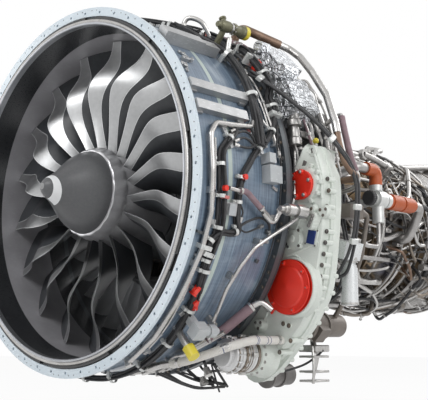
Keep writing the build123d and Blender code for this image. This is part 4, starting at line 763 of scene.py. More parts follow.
FINISHES: Dict[str, Finish] = {
    "flange": Finish("flange_paint", (0.62, 0.7, 0.76), (0.54, 0.63, 0.7), 0.34, broad=16, fine=500,
                     bump=0.05, mottle=0.45, coat=0.3, scratch=0.25),
    # The seal ring is painted near-black as the shade of the groove beside the inlet flange.
    "seal": Finish("seal_ring_painted_groove_shade", (0.022, 0.023, 0.025), (0.045, 0.046, 0.048), 0.5, 0.0, broad=20,
                   mottle=0.5),
    "lip": Finish("lip_metal", (0.34, 0.35, 0.37), (0.27, 0.28, 0.3), 0.34, 0.8, broad=14, bump=0.03),
    "liner": Finish("liner_black", (0.022, 0.023, 0.026), (0.036, 0.038, 0.041), 0.3, broad=6, bump=0.03,
                    mottle=0.6, scratch=0.05),
    "rub": Finish("rub_strip_grey", (0.36, 0.355, 0.375), (0.26, 0.255, 0.27), 0.36, broad=7, fine=400,
                  bump=0.05, mottle=0.6),
    "dark_flange": Finish("rear_flange_dark", (0.085, 0.095, 0.105), (0.13, 0.14, 0.15), 0.4, 0.3, broad=18),
    "exit_dark": Finish("exit_case_dark", (0.04, 0.042, 0.046), (0.075, 0.078, 0.083), 0.55, 0.1, broad=16),
    "frame": Finish("frame_metal", (0.5, 0.51, 0.52), (0.38, 0.39, 0.4), 0.38, 0.7, broad=10),
    "vane": Finish("vane_metal", (0.62, 0.63, 0.64), (0.5, 0.51, 0.52), 0.34, 0.6, broad=12),
    "hub": Finish("hub_polished", (0.52, 0.52, 0.53), (0.36, 0.36, 0.38), 0.34, 0.6, broad=20, bump=0.02),
    "gear": Finish("gear_steel", (0.48, 0.48, 0.49), (0.36, 0.36, 0.37), 0.3, 1.0),
    "bearing": Finish("bearing_steel", (0.6, 0.6, 0.62), (0.5, 0.5, 0.52), 0.22, 1.0),
    "rotor": Finish("rotor_alloy", (0.46, 0.45, 0.44), (0.34, 0.33, 0.32), 0.34, 1.0, heat=0.3),
    "gearbox": Finish("gearbox_paint", (0.68, 0.72, 0.67), (0.58, 0.62, 0.58), 0.42, broad=9, fine=300,
                      bump=0.1, mottle=0.55, scratch=0.2),
    "red": Finish("cover_red", (0.78, 0.03, 0.012), (0.66, 0.022, 0.01), 0.42, broad=14, bump=0.06,
                  mottle=0.5, coat=0.2, scratch=0.05),
    "generator": Finish("generator_grey", (0.66, 0.66, 0.66), (0.44, 0.44, 0.44), 0.36, 0.6, broad=16,
                        scratch=0.25),
    "pump": Finish("pump_dark", (0.17, 0.16, 0.155), (0.27, 0.26, 0.25), 0.46, 0.4, broad=18, scratch=0.25),
    "pump_brown": Finish("pump_brown", (0.14, 0.12, 0.105), (0.23, 0.205, 0.18), 0.48, 0.3, broad=20,
                         scratch=0.25),
    "filter": Finish("filter_white", (0.7, 0.715, 0.72), (0.58, 0.595, 0.6), 0.3, 0.35, broad=10, mottle=0.4,
                     coat=0.2),
    "foil": Finish("valve_foil", (0.8, 0.82, 0.85), (0.55, 0.57, 0.6), 0.34, 0.85, broad=20, crumple=0.9,
                   mottle=0.5),
    "box": Finish("box_grey", (0.47, 0.49, 0.5), (0.36, 0.38, 0.4), 0.42, broad=14, scratch=0.25),
    "rail": Finish("rail_silver", (0.44, 0.445, 0.45), (0.3, 0.305, 0.31), 0.4, 0.7, broad=16, scratch=0.3),
    "olive": Finish("olive_metal", (0.13, 0.125, 0.075), (0.21, 0.205, 0.14), 0.42, 0.4, broad=18,
                    scratch=0.25),
    "yellow": Finish("cap_yellow", (0.72, 0.6, 0.05), (0.64, 0.52, 0.05), 0.4, broad=16, bump=0.06,
                     mottle=0.4),
    "tube": Finish("tube_steel", (0.52, 0.51, 0.5), (0.34, 0.33, 0.31), 0.3, 0.9, broad=24, mottle=0.5,
                   scratch=0.2),
    "mauve": Finish("hose_mauve", (0.22, 0.145, 0.165), (0.31, 0.22, 0.24), 0.62, broad=26, fine=700,
                    bump=0.25, mottle=0.5),
    "bronze": Finish("bronze_duct", (0.16, 0.1, 0.07), (0.25, 0.17, 0.12), 0.42, 0.5, broad=20, mottle=0.6,
                     scratch=0.2),
    "orange": Finish("sleeve_orange", (0.47, 0.095, 0.022), (0.34, 0.07, 0.02), 0.46, broad=22, fine=420,
                     bump=0.2, mottle=0.6),
    "harness": Finish("harness_black", (0.022, 0.022, 0.024), (0.05, 0.05, 0.053), 0.5, broad=40, fine=900,
                      bump=0.3, rings=0.004),
    "valve": Finish("valve_steel", (0.42, 0.41, 0.4), (0.22, 0.21, 0.2), 0.38, 0.8, broad=20, scratch=0.25),
    "cold": Finish("cold_case", (0.15, 0.15, 0.15), (0.08, 0.08, 0.08), 0.4, 0.8, broad=12, scratch=0.2),
    "pale_clamp": Finish("clamp_pale", (0.66, 0.67, 0.66), (0.5, 0.51, 0.5), 0.36, 0.4, broad=30,
                         scratch=0.2),
    "dark_steel": Finish("dark_steel", (0.2, 0.195, 0.19), (0.11, 0.105, 0.1), 0.36, 0.9, broad=26,
                         scratch=0.3, heat=0.25),
    "cream": Finish("sleeve_cream", (0.74, 0.72, 0.68), (0.6, 0.58, 0.54), 0.55, broad=30, fine=900,
                    bump=0.3, mottle=0.4, rings=0.006),
    "blue": Finish("blue_plastic", (0.025, 0.05, 0.2), (0.02, 0.035, 0.13), 0.36, broad=30, mottle=0.5),
    "pink": Finish("tie_pink", (0.62, 0.22, 0.2), (0.5, 0.18, 0.17), 0.45, broad=40, mottle=0.4),
    "rubber": Finish("rubber_black", (0.02, 0.02, 0.022), (0.035, 0.035, 0.037), 0.55, broad=40, fine=800,
                     bump=0.15),
    "hot": Finish("hot_case", (0.15, 0.135, 0.12), (0.075, 0.065, 0.055), 0.42, 0.85, broad=12, heat=0.6,
                  scratch=0.2),
}

FINISH_NODES: Dict[str, str] = {
    "flange": "inlet_flange",
    "seal": "seal_ring",
    "lip": "inlet_lip",
    "liner": "case_liners",
    "rub": "rub_strip",
    "dark_flange": "rear_flange",
    "exit_dark": "fan_exit_case",
    "gear": "fan_shaft ring_gear sun_gear lp_shaft tower_shaft",
    "frame": "gear_carrier fan_frame",
    "bearing": "bearings",
    "vane": "outlet_guide_vanes",
    "cold": "lpc_case intermediate_case hpc_case",
    "rotor": "lpc_rotor hpc_rotor hpt_rotor lpt_rotor",
    "hot": "combustor_case burner_set turbine_nozzle hpt_case lpt_case exhaust_case exhaust_frame",
    "tube": "cooling_rings case_tubes silver_ducts",
    "gearbox": "gearbox_front_housing gearbox_rear_housing",
    "red": "red_covers",
    "generator": "generator",
    "pump": "lubrication_pump",
    "pump_brown": "fuel_pump",
    "filter": "oil_filter",
    "foil": "valve_pack",
    "box": "sensor_boxes",
    "rail": "case_rails",
    "olive": "anti_ice_valve",
    "yellow": "yellow_caps",
    "bronze": "bronze_ducts",
    "mauve": "mauve_hoses",
    "harness": "harness",
    "pale_clamp": "air_valve",
    "orange": "air_sleeves",
    "valve": "core_ducts",
    "hub": "fan_hub",
}
NODE_FINISH = {node: key for key, nodes in FINISH_NODES.items() for node in nodes.split()}


@dataclass
class Dress:
    """A sub-assembly whose pieces take their materials from the shared paints."""

    paints: Paints

    def finish(self, b: Builder, name: str, finish: str, slot: str, replaces: Sequence[str] = (),
               body: Body = Body.FRAME) -> bpy.types.Object:
        """Makes a collected mesh a piece.

        Args:
            b: the builder that holds the mesh.
            name: name of the piece.
            finish: key of its finish.
            slot: not used.
            replaces: nodes that the piece stands for.
            body: body that it rides on.

        Returns:
            The piece.
        """
        return b.build(name, self.paints.get(FINISHES[finish]), body, replaces=replaces)


@dataclass
class CadDress(Dress):
    """Gives every carried-over CAD node its procedural material."""

    def apply(self, nodes: Dict[str, bpy.types.Object]) -> None:
        """Assigns materials to the CAD nodes.

        Args:
            nodes: the frame's nodes by name.
        """
        special = {"fan_case": self.paints.composite, "spinner": self.paints.spinner,
                   "fan_blades": self.paints.blade}
        for name, obj in nodes.items():
            if name in special:
                material = special[name]()
            else:
                material = self.paints.get(FINISHES[NODE_FINISH.get(name, "gear")])
            obj.data.materials.clear()
            obj.data.materials.append(material)
            LOG.info("%s: finish %s", name, material.name)


# Fan rotor


@dataclass(frozen=True)
class BladeRow:
    """One section of the fan blade: sizes in metres, angles in degrees."""

    radius: float
    lead_y: float
    lead_angle: float
    chord: float
    stagger: float
    camber: float
    thick: float


BLADE_PHASE = math.radians(-5.5)
BLADE_ROWS = (
    BladeRow(0.172, 0.163, 16.0, 0.206, 8, 0.024, 0.02),
    BladeRow(0.254, 0.157, 19.0, 0.222, 18, 0.022, 0.016),
    BladeRow(0.366, 0.137, 20.3, 0.25, 34, 0.017, 0.012),
    BladeRow(0.479, 0.124, 17.3, 0.268, 47, 0.012, 0.009),
    BladeRow(0.589, 0.189, 13.5, 0.276, 57, 0.009, 0.007),
    BladeRow(0.716, 0.206, 12.0, 0.28, 62, 0.007, 0.006),
)

# Share of the chord that the polished sheath covers, by share of the span
SHEATH_EDGE = ((0.0, 0.165), (0.2, 0.17), (0.4, 0.22), (0.6, 0.3), (0.75, 0.26), (0.88, 0.175), (1.0, 0.15))


@dataclass
class HubRing(Dress):
    """Bright scalloped ring between the spinner and the blade roots."""

    profile: Tuple[Tuple[float, float], ...] = (
        (0.17, 0.0945), (0.183, 0.0945), (0.1875, 0.098), (0.1925, 0.112),
        (0.199, 0.134), (0.201, 0.15), (0.1985, 0.158), (0.17, 0.16),
    )
    lobe_height: float = 0.022

    def lobes(self, angle: np.ndarray) -> np.ndarray:
        """Scale of the radius by angle: one lobe to a blade, as |cos(n / 2 * angle)|."""
        return 1 + self.lobe_height * np.abs(np.cos(BLADE_COUNT / 2 * angle))

    def add(self) -> bpy.types.Object:
        """Builds the ring on the fan rotor.

        Returns:
            The ring.
        """
        ring = Builder()
        ring.lathe((0, 0, 0), AFT, self.profile, 216, wave=self.lobes)
        return self.finish(ring, "hub_scallop_ring", "hub", "hub_polished", body=Body.FAN)


@dataclass
class FanBlades(Dress):
    """Swept fan blades, each with a polished leading-edge sheath."""

    span_steps: int = 56
    chord_steps: int = 44
    rows: Tuple[BladeRow, ...] = BLADE_ROWS
    root_r: float = 0.188
    root_y: float = 0.15
    root_slope: float = 0.298
    nose_share: float = 0.006

    def section(self, z: np.ndarray, s: np.ndarray, side: float) -> Tuple[np.ndarray, np.ndarray]:
        """Place on one face of the blade at section height z and chord share s.

        The face is the chord line plus an arc: offset = (camber + side * thick / 2) * arc(s),
        where arc rises from 0 at the leading edge to 1 near the middle of the chord and back to 0.

        Args:
            z: height of each point above the shaft line.
            s: share of the chord of each point.
            side: 1 for the upper face, -1 for the lower one.

        Returns:
            The points' x and y.
        """
        table = np.array([[r.radius, r.lead_y, r.lead_angle, r.chord, r.stagger, r.camber, r.thick]
                          for r in self.rows])
        values = [self.curve(table[:, 0], table[:, k], z) for k in range(1, 7)]
        lead_y, lead_angle, chord, stagger, camber, thick = values
        lead_x = z * np.tan(np.radians(-lead_angle))
        turn = np.radians(90 - stagger)
        along = np.stack([np.cos(turn), np.sin(turn)], -1)
        across = np.stack([-along[..., 1], along[..., 0]], -1)
        bend = s ** 0.92
        arc = 4 * bend * (1 - bend)
        reach = (chord * s)[..., None] * along - ((camber + side * thick / 2) * arc)[..., None] * across
        return lead_x + reach[..., 0], lead_y + reach[..., 1]

    @staticmethod
    def curve(x: np.ndarray, y: np.ndarray, at: np.ndarray) -> np.ndarray:
        """Natural cubic spline.

        Args:
            x: places of the knots, rising.
            y: values at the knots.
            at: places to read.

        Returns:
            The values there.
        """
        n = len(x)
        h = np.diff(x)
        a = np.zeros((n, n))
        b = np.zeros(n)
        a[0, 0] = a[-1, -1] = 1
        for i in range(1, n - 1):
            a[i, i - 1], a[i, i], a[i, i + 1] = h[i - 1], 2 * (h[i - 1] + h[i]), h[i]
            b[i] = 3 * ((y[i + 1] - y[i]) / h[i] - (y[i] - y[i - 1]) / h[i - 1])
        c = np.linalg.solve(a, b)
        d = np.diff(c) / (3 * h)
        m = (np.diff(y)) / h - h * (2 * c[:-1] + c[1:]) / 3
        i = np.clip(np.searchsorted(x, at) - 1, 0, n - 2)
        t = at - x[i]
        return y[i] + m[i] * t + c[i] * t**2 + d[i] * t**3

    def face(self, side: float) -> Tuple[np.ndarray, np.ndarray]:
        """One face of the blade, trimmed to the hub and the tip circle.

        The height z of each point is found by repeating z = sqrt(radius^2 - x(z)^2).

        Args:
            side: 1 for the upper face, -1 for the lower one.

        Returns:
            Its grid of points, and the sheath mask at each of them.
        """
        t = np.linspace(0, 1, self.span_steps)[:, None]
        s = (1 - np.cos(np.linspace(0, math.pi, self.chord_steps))) / 2
        s = np.broadcast_to(s[None], (self.span_steps, self.chord_steps))
        z = self.root_r + t * (FAN_TIP_R - self.root_r) + 0 * s
        for _ in range(8):
            x, y = self.section(z, s, side)
            hub = self.root_r + self.root_slope * np.clip(y - self.root_y, 0, 0.3)
            radius = hub + t * (FAN_TIP_R - hub)
            z = np.sqrt(np.maximum(radius**2 - x**2, 1e-6))
        x, y = self.section(z, s, side)
        table = np.array(SHEATH_EDGE)
        edge = np.clip(self.curve(table[:, 0], table[:, 1], t), 0.1, 0.34)
        # Mask one on the thin nose strip, which the blade material paints as a pale highlight line.
        mask = np.where(s < self.nose_share, 1.0, np.clip(0.5 + (edge - s) * 8, 0, 0.9))
        return np.stack([x, y, z], -1), mask

    def add(self) -> bpy.types.Object:
        """Builds all blades as one piece on the fan body.

        Returns:
            The piece.
        """
        b = Builder()
        upper, upper_mask = self.face(1.0)
        lower, lower_mask = self.face(-1.0)
        for index in range(BLADE_COUNT):
            a = BLADE_PHASE + 2 * math.pi * index / BLADE_COUNT
            turn = np.array([[math.cos(a), 0, -math.sin(a)], [0, 1, 0], [math.sin(a), 0, math.cos(a)]])
            b.grid(upper @ turn, mask=upper_mask)
            b.grid(lower @ turn, mask=lower_mask, flip=True)
        return b.build("fan_blade_set", self.paints.blade(), Body.FAN, 60, ["fan_blades"])


# Dress of the fan case


# Angle and station of the black cables that come down from the top beam past the sensor boxes.
BUNDLE_PLACES = ((58.0, 0.215), (51.0, 0.3), (47.5, 0.365), (43.0, 0.392), (37.0, 0.391), (30.7, 0.376),
                 (24.0, 0.362), (18.2, 0.359), (14.4, 0.352), (10.0, 0.35))


def case_path(places: Sequence[Place], step: float = 0.012) -> np.ndarray:
    """Smooth path over the case.

    Args:
        places: (angle, station, lift above the case) of each point.
        step: spacing of the result in metres.

    Returns:
        Array of points.
    """
    return smooth_path([polar(case_radius(y) + lift, angle, y) for angle, y, lift in places], step)


def dense_path(places: Sequence[Place], most: float = 5.0, step: float = 0.012) -> np.ndarray:
    """Path over the case with more places between, so that a chord never cuts into it.

    Args:
        places: (angle, station, lift above the case) of each point.
        most: largest angle in degrees between two places.
        step: spacing of the result in metres.

    Returns:
        Array of points.
    """
    out = [places[0]]
    for a, b in zip(places, places[1:]):
        count = max(1, int(abs(b[0] - a[0]) / most) + 1)
        for k in range(1, count + 1):
            t = k / count
            out.append(tuple(a[i] * (1 - t) + b[i] * t for i in range(3)))
    return case_path(out, step)


def shifted(path: np.ndarray, offset: Tuple[float, float], wander: float, seed: int) -> np.ndarray:
    """The path moved sideways in its own frame, with a slow sway of three sine terms.

    Args:
        path: array of points.
        offset: shift along the path's normal and side.
        wander: size of the sway in metres.
        seed: seed of the sway.

    Returns:
        The moved path.
    """
    rng = np.random.default_rng(seed)
    _, normal, side = frames_along(path)
    t = np.linspace(0, 1, len(path))
    for direction, shift in zip((normal, side), offset):
        terms = [rng.normal(0, wander / k) * np.sin(k * math.pi * t + rng.uniform(0, 6.28))
                 for k in (1, 2, 3)]
        path = path + direction * (shift + sum(terms))[:, None]
    return path


def collar(b: Builder, path: np.ndarray, at: float, radius: float, width: float,
           thick: float = 0.0025) -> None:
    """Adds a band round a tube.

    Args:
        b: builder that takes the band.
        path: the tube's path.
        at: share of the path where the band sits.
        radius: the tube's radius.
        width: width of the band along the tube.
        thick: how far the band stands out.
    """
    i = int(np.clip(at * (len(path) - 1), 1, len(path) - 2))
    axis = path[i + 1] - path[i - 1]
    h = width / 2
    b.lathe(path[i], axis, [(radius, -h), (radius + thick, -h), (radius + thick, h), (radius, h)], 14)


def case_clamp(b: Builder, path: np.ndarray, at: float, radius: float, width: float = 0.012) -> None:
    """Adds a cushioned clamp: band, bolt and a foot that reaches down to the case.

    Args:
        b: builder that takes the clamp.
        path: the tube's path.
        at: share of the path where the clamp sits.
        radius: the tube's radius.
        width: width of the clamp along the tube.
    """
    i = int(np.clip(at * (len(path) - 1), 1, len(path) - 2))
    place = path[i]
    along = unit(path[i + 1] - path[i - 1])
    out = unit(np.array([place[0], 0, place[2]]))
    side = unit(np.cross(along, out))
    collar(b, path, at, radius, width, 0.003)
    reach = float(np.hypot(place[0], place[2])) - case_radius(float(place[1]))
    foot = place + side * (radius + 0.008) - out * (reach / 2)
    b.box(foot, (along, side, out), (width, 0.012, max(reach, 0.006)), 0.0015)
    b.bolt(foot + out * (reach / 2), out, 0.004)


def case_clamps(b: Builder, path: np.ndarray, places: Sequence[float], radius: float, width: float) -> None:
    """Clamps at several shares of a path."""
    for at in places:
        case_clamp(b, path, at, radius, width)


# (radius, station) outline of the olive valve, and its angle on the case
ICE_VALVE = ((0, 0.352), (0.012, 0.352), (0.014, 0.356), (0.014, 0.372), (0.023, 0.376), (0.025, 0.382),
             (0.025, 0.418), (0.019, 0.422), (0.019, 0.446), (0.026, 0.449), (0.026, 0.456), (0.022, 0.459),
             (0.022, 0.492), (0.027, 0.496), (0.03, 0.5095), (0, 0.5095))
ICE_ANGLE = 52.0
# Runs of the black cables and their short loops, as (angle, station, lift above the case)
TOP_RUN = ((104, 0.3, 0.03), (92, 0.33, 0.034), (78, 0.38, 0.04), (66, 0.43, 0.046), (56, 0.475, 0.05),
           (48, 0.505, 0.038), (39, 0.51, 0.036), (31, 0.505, 0.034), (24, 0.493, 0.036), (21, 0.488, 0.034))
LEFT_RUN = ((21, 0.488, 0.034), (16.6, 0.457, 0.03), (12.8, 0.415, 0.026), (9.6, 0.368, 0.022),
            (7.3, 0.326, 0.02), (3.6, 0.284, 0.018), (-0.6, 0.241, 0.018), (-4.2, 0.226, 0.018),
            (-8.1, 0.221, 0.018), (-12.6, 0.227, 0.018), (-15.9, 0.244, 0.018), (-16.7, 0.202, 0.02),
            (-16.7, 0.158, 0.02), (-19.0, 0.114, 0.018), (-21.6, 0.095, 0.018))
FRONT_RUN = ((13.0, 0.215, 0.018), (10.3, 0.185, 0.018), (7.7, 0.148, 0.018), (5.0, 0.121, 0.018),
             (-0.1, 0.118, 0.018), (-4.5, 0.124, 0.018), (-9.7, 0.128, 0.018), (-14.3, 0.136, 0.018),
             (-18.9, 0.132, 0.018), (-23.0, 0.122, 0.018), (-27.0, 0.118, 0.018), (-31.0, 0.124, 0.02),
             (-35.0, 0.132, 0.024))
LOW_RUN = ((-24.0, 0.122, 0.02), (-30.0, 0.128, 0.022), (-36.0, 0.136, 0.024), (-44.0, 0.148, 0.024),
           (-52.0, 0.158, 0.024), (-60.0, 0.165, 0.026), (-68.0, 0.17, 0.028), (-76.0, 0.17, 0.03),
           (-84.0, 0.168, 0.03), (-92.0, 0.16, 0.026), (-100.0, 0.15, 0.02))
LOOPS = (
    ((12.0, 0.193, 0.012), (13.7, 0.25, 0.022), (14.3, 0.311, 0.022), (11.7, 0.332, 0.02),
     (9.7, 0.344, 0.016)),
    ((10.5, 0.194, 0.012), (12.5, 0.252, 0.026), (11.9, 0.303, 0.026), (9.3, 0.336, 0.016)),
    ((9.2, 0.207, 0.012), (10.7, 0.258, 0.022), (9.5, 0.307, 0.024), (8.4, 0.34, 0.018)),
    ((8.3, 0.205, 0.012), (7.8, 0.262, 0.022), (8.6, 0.305, 0.022), (10.9, 0.341, 0.018)),
    ((-15.3, 0.242, 0.016), (-13.3, 0.281, 0.02), (-11.7, 0.346, 0.02), (-12.0, 0.395, 0.018),
     (-13.5, 0.431, 0.014), (-16.4, 0.442, 0.01)),
    ((-15.5, 0.254, 0.014), (-16.2, 0.291, 0.018), (-14.9, 0.345, 0.018), (-13.8, 0.389, 0.012)),
    ((-8.0, 0.232, 0.014), (-10.7, 0.25, 0.02), (-13.6, 0.247, 0.014)),
    ((20.6, 0.498, 0.03), (16.3, 0.487, 0.024), (10.7, 0.458, 0.03), (6.7, 0.435, 0.05)),
    ((20.8, 0.495, 0.03), (16.7, 0.492, 0.024), (10.1, 0.486, 0.02), (3.7, 0.484, 0.016),
     (-6.0, 0.482, 0.012), (-16.0, 0.478, 0.012), (-30.0, 0.478, 0.012), (-45.0, 0.478, 0.012)),
)


@dataclass
class CaseDress(Dress):
    """Cables, small tubes, clamps, brackets and bolts on the fan case."""

    cable_radius: float = 0.0058
    flange_bolts_r: float = 0.779
    exit_bolts_r: float = 0.741
    inlet_bolts_r: float = 0.772
    seed: int = 7

    def add(self) -> None:
        """Builds every piece of the case's dress."""
        self.inlet_ring()
        self.ice_valve()
        self.cables()
        self.tubes()
        self.brackets()
        self.flange_bolts()
        self.caps()

    def cables(self) -> None:
        """Black cables: a nine-cable bundle over the top, two runs down the front and loops."""
        black, clamps, steel = builders(3)
        packing = [(0, 0)] + [(0.0125 * math.cos(k * math.pi / 4), 0.0125 * math.sin(k * math.pi / 4))
                              for k in range(8)]
        runs = (
            (TOP_RUN, packing, 0.0032, (0.14, 0.32, 0.5, 0.66, 0.82, 0.97), 0.021),
            (LEFT_RUN, packing[:4], 0.0018, (0.12, 0.3, 0.5, 0.62, 0.8, 0.96), 0.013),
            (FRONT_RUN, packing[1:5], 0.0018, (0.08, 0.28, 0.45, 0.62, 0.82), 0.013),
            (LOW_RUN, packing[:6], 0.0026, (0.06, 0.22, 0.4, 0.58, 0.76, 0.92), 0.017),
        )
        for index, (places, pack, wander, holds, hold_r) in enumerate(runs):
            path = dense_path(places, 7.0)
            for k, offset in enumerate(pack):
                moved = shifted(path, offset, wander, self.seed + 31 * index + k)
                thick = self.cable_radius * (1.15 if k % 3 == 0 else 0.85)
                black.tube(moved, thick, 10)
            case_clamps(clamps, path, holds, hold_r, 0.014)
        for index, places in enumerate(LOOPS):
            path = case_path(places, 0.008)
            black.tube(path, 0.0052 if index < 5 else 0.0038, 10)
            steel_end = path[:4] if index < 4 else path[-4:]
            steel.tube(steel_end, 0.0085, 12)
        for shift in (0.0, 0.018):
            line = polars((0.8 + shift, 36, 0.43), (0.835, 30, 0.47 + shift), (0.862, 23.5, 0.545 + shift),
                          (0.893, 16.5, 0.628 + shift), (0.914, 10.5, 0.7 + shift),
                          (0.925, 6.5, 0.745 + shift), (0.925, 1.5, 0.79 + shift),
                          (0.922, -4.0, 0.8 + shift), (0.922, -11.0, 0.802 + shift),
                          (0.918, -17.0, 0.797 + shift * 1.6),
                          (0.905, -21.0 - shift * 90, 0.795 + shift * 2.4), (0.88, -25.0, 0.806 + shift))
            path = smooth_path(line, 0.01)
            black.tube(path, 0.0072, 12)
            if shift:
                for at in (0.06, 0.4, 0.7, 0.83):
                    k = int(at * (len(path) - 1))
                    along = unit(path[k + 1] - path[k - 1])
                    out = unit(path[k] * (1 - AFT))
                    axes = (along, unit(np.cross(along, out)), out)
                    clamps.box(path[k] - AFT * 0.009, axes, (0.026, 0.046, 0.02), 0.004)
        rng = np.random.default_rng(self.seed + 3)
        for index in range(4):
            places = [(104.0 - 1.5 * index, 0.05 + 0.02 * index, 0.028)]
            for angle in range(98, 58, -5):
                share = (98 - angle) / 40
                places.append((float(angle), 0.08 + 0.33 * share + 0.018 * index + rng.normal(0, 0.008),
                               0.02 + 0.01 * (index % 2) + 0.02 * share))
            path = dense_path(places)
            black.tube(path, 0.0042 + 0.0012 * (index % 2), 8)
            for at in (0.08, 0.3, 0.55, 0.8):
                case_clamp(clamps, path, at + 0.03 * index, 0.005, 0.012)
        for index in range(8):
            aside = 0.011 * (index % 4) - 0.018
            places = [(angle + rng.normal(0, 0.35), y + aside * (1.0 if angle < 46 else 0.4),
                       0.03 + 0.013 * (index // 4) + rng.normal(0, 0.003)) for angle, y in BUNDLE_PLACES]
            black.tube(dense_path(places), 0.0062 if index % 3 else 0.0075, 8)
        bundle = dense_path([(angle, y, 0.036) for angle, y in BUNDLE_PLACES])
        case_clamps(clamps, bundle, (0.34, 0.7), 0.026, 0.018)
        self.finish(black, "case_cables", "harness", "harness_black", ("harness",))
        self.finish(clamps, "case_cable_clamps", "pale_clamp", "rail_silver")
        self.finish(steel, "case_cable_ends", "tube", "tube_steel")

    def tubes(self) -> None:
        """Small steel tubes round the case, in steps and parallel groups, clamped to the case, and one bent
        loop without clamps.
        """
        steel, clamps = builders(2)
        rng = np.random.default_rng(self.seed)
        for index in range(3):
            y = 0.42 + 0.021 * index
            start, end = 66 - 3 * index, 16 - 5 * index
            wide = 0.0045 if index % 2 else 0.006
            places = [(start, y - 0.05, 0.012)]
            for angle in np.arange(start - 6, end, -8.0):
                places.append((float(angle), y + rng.normal(0, 0.004), 0.012 + 0.004 * (index % 3)))
            places.append((end, y + 0.03, 0.012))
            path = dense_path(places)
            steel.tube(path, wide, 10)
            case_clamps(clamps, path, (0.15, 0.4, 0.65, 0.9), wide, 0.01)
        for index in range(5):
            y = 0.3 + 0.034 * index
            places = [(-58 - 2 * index, y, 0.012), (-70, y + 0.01, 0.014), (-86, y - 0.01, 0.014),
                      (-104 - 4 * index, y, 0.012)]
            path = dense_path(places)
            steel.tube(path, 0.006, 10)
            case_clamps(clamps, path, (0.2, 0.55, 0.85), 0.006, 0.01)
        front = dense_path(((9, 0.1, 0.012), (0, 0.09, 0.012), (-14, 0.092, 0.012), (-26, 0.075, 0.012),
                            (-40, 0.082, 0.012), (-58, 0.1, 0.012)))
        steel.tube(front, 0.0048, 10)
        case_clamps(clamps, front, (0.1, 0.3, 0.5, 0.7, 0.9), 0.0048, 0.01)
        loop = polars((0.775, 66, 0.37), (0.83, 67, 0.37), (0.855, 66, 0.385), (0.85, 63, 0.42),
                      (0.8, 60, 0.46), (0.775, 58, 0.49))
        steel.pipe(loop, 0.011, 14, 0.008)
        self.finish(steel, "case_small_tubes", "tube", "tube_steel")
        self.finish(clamps, "case_tube_clamps", "rail", "rail_silver")

    def inlet_ring(self) -> None:
        """Silver ring on the inner half of the seal ring, which is painted near-black as the shade of the
        groove, just outside the lip.
        """
        ring = Builder()
        ring.lathe((0, 0, 0), AFT, [(0.7238, 0.0), (0.7238, -0.0105), (0.7265, -0.0125), (0.7345, -0.0105),
                (0.7365, -0.006), (0.7365, 0.0)], 240)
        self.finish(ring, "inlet_silver_ring", "tube", "tube_steel")

    def ice_valve(self) -> None:
        """Olive valve on the top of the case: a slim stepped body on a foot, with ports and a clamp."""
        olive, steel = builders(2)
        axis = polar(0.884, ICE_ANGLE)
        olive.lathe(axis, AFT, ICE_VALVE, 36)
        out = polar(1, ICE_ANGLE)
        foot = polar(0.825, ICE_ANGLE, 0.4)
        olive.box(foot, (out, AFT, np.cross(out, AFT)), (0.114, 0.026, 0.02), 0.004)
        olive.lathe(axis + AFT * 0.398, polar(1, 110.0),
                    [(0, 0.0), (0.012, 0.0), (0.012, 0.034), (0.016, 0.036), (0.016, 0.044), (0, 0.044)], 18)
        for turn in range(0, 360, 45):
            steel.bolt(axis + polar(0.0225, turn, 0.449), FORWARD, 0.0036)
        steel.lathe(axis, AFT, [(0.0, 0.428), (0.021, 0.428), (0.021, 0.44), (0, 0.44)], 30)
        self.finish(olive, "slim_ice_valve", "olive", "olive_metal", ("anti_ice_valve",))
        self.finish(steel, "ice_valve_bolts", "tube", "tube_steel")

    def plate(self, b: Builder, angle: float, y: float, size: Place, turn: float = 0.0,
              holes: int = 2) -> None:
        """Adds a plate on the case, with screws.

        Args:
            b: builder that takes the plate.
            angle: its angle round the case.
            y: its station.
            size: along the shaft, round the case and high.
            turn: degrees that it is turned on the case.
            holes: number of its screws.
        """
        out = polar(1, angle)
        across = unit(np.cross(AFT, out))
        c, s = math.cos(math.radians(turn)), math.sin(math.radians(turn))
        u, v = AFT * c + across * s, FORWARD * s + across * c
        base = polar(case_radius(y), angle, y)
        b.box(base + out * size[2] / 2, (u, v, out), size, 0.0015)
        for k in range(holes):
            shift = (k + 0.5) / holes - 0.5
            b.bolt(base + out * size[2] + u * shift * size[0] * 0.8 + v * size[1] * 0.3 * (-1) ** k, out,
                   0.0032)

    def brackets(self) -> None:
        """Brackets and plates: the pale strap, a grey box plate, rail end fittings and many small ones."""
        pale, dark = builders(2)
        rng = np.random.default_rng(self.seed + 5)
        self.plate(pale, 10.4, 0.177, (0.02, 0.095, 0.012), -24, 3)
        self.plate(pale, -10.4, 0.184, (0.062, 0.05, 0.022), 0, 4)
        self.plate(pale, 54.8, 0.46, (0.05, 0.03, 0.02), 20, 2)
        for angle, y in ((8.6, 0.343), (7.4, 0.353), (9.6, 0.362)):
            out = polar(1, angle)
            base = polar(case_radius(y) + 0.004, angle, y)
            pale.lathe(base, out, [(0.0, 0), (0.011, 0), (0.011, 0.012), (0.0085, 0.014), (0.0085, 0.026),
                    (0, 0.026)], 12)
        for index in range(46):
            angle = rng.uniform(-100, 96)
            if angle < -50 or angle > 40:
                y = rng.uniform(0.06, 0.47)
            else:
                y = rng.choice((rng.uniform(0.05, 0.13), rng.uniform(0.4, 0.48)))
            size = (rng.uniform(0.014, 0.04), rng.uniform(0.01, 0.024), rng.uniform(0.006, 0.018))
            self.plate(pale if index % 3 else dark, angle, y, size, rng.uniform(-30, 30), 2)
        self.finish(pale, "case_brackets", "rail", "rail_silver")
        self.finish(dark, "case_dark_brackets", "dark_flange", "dark_flange")

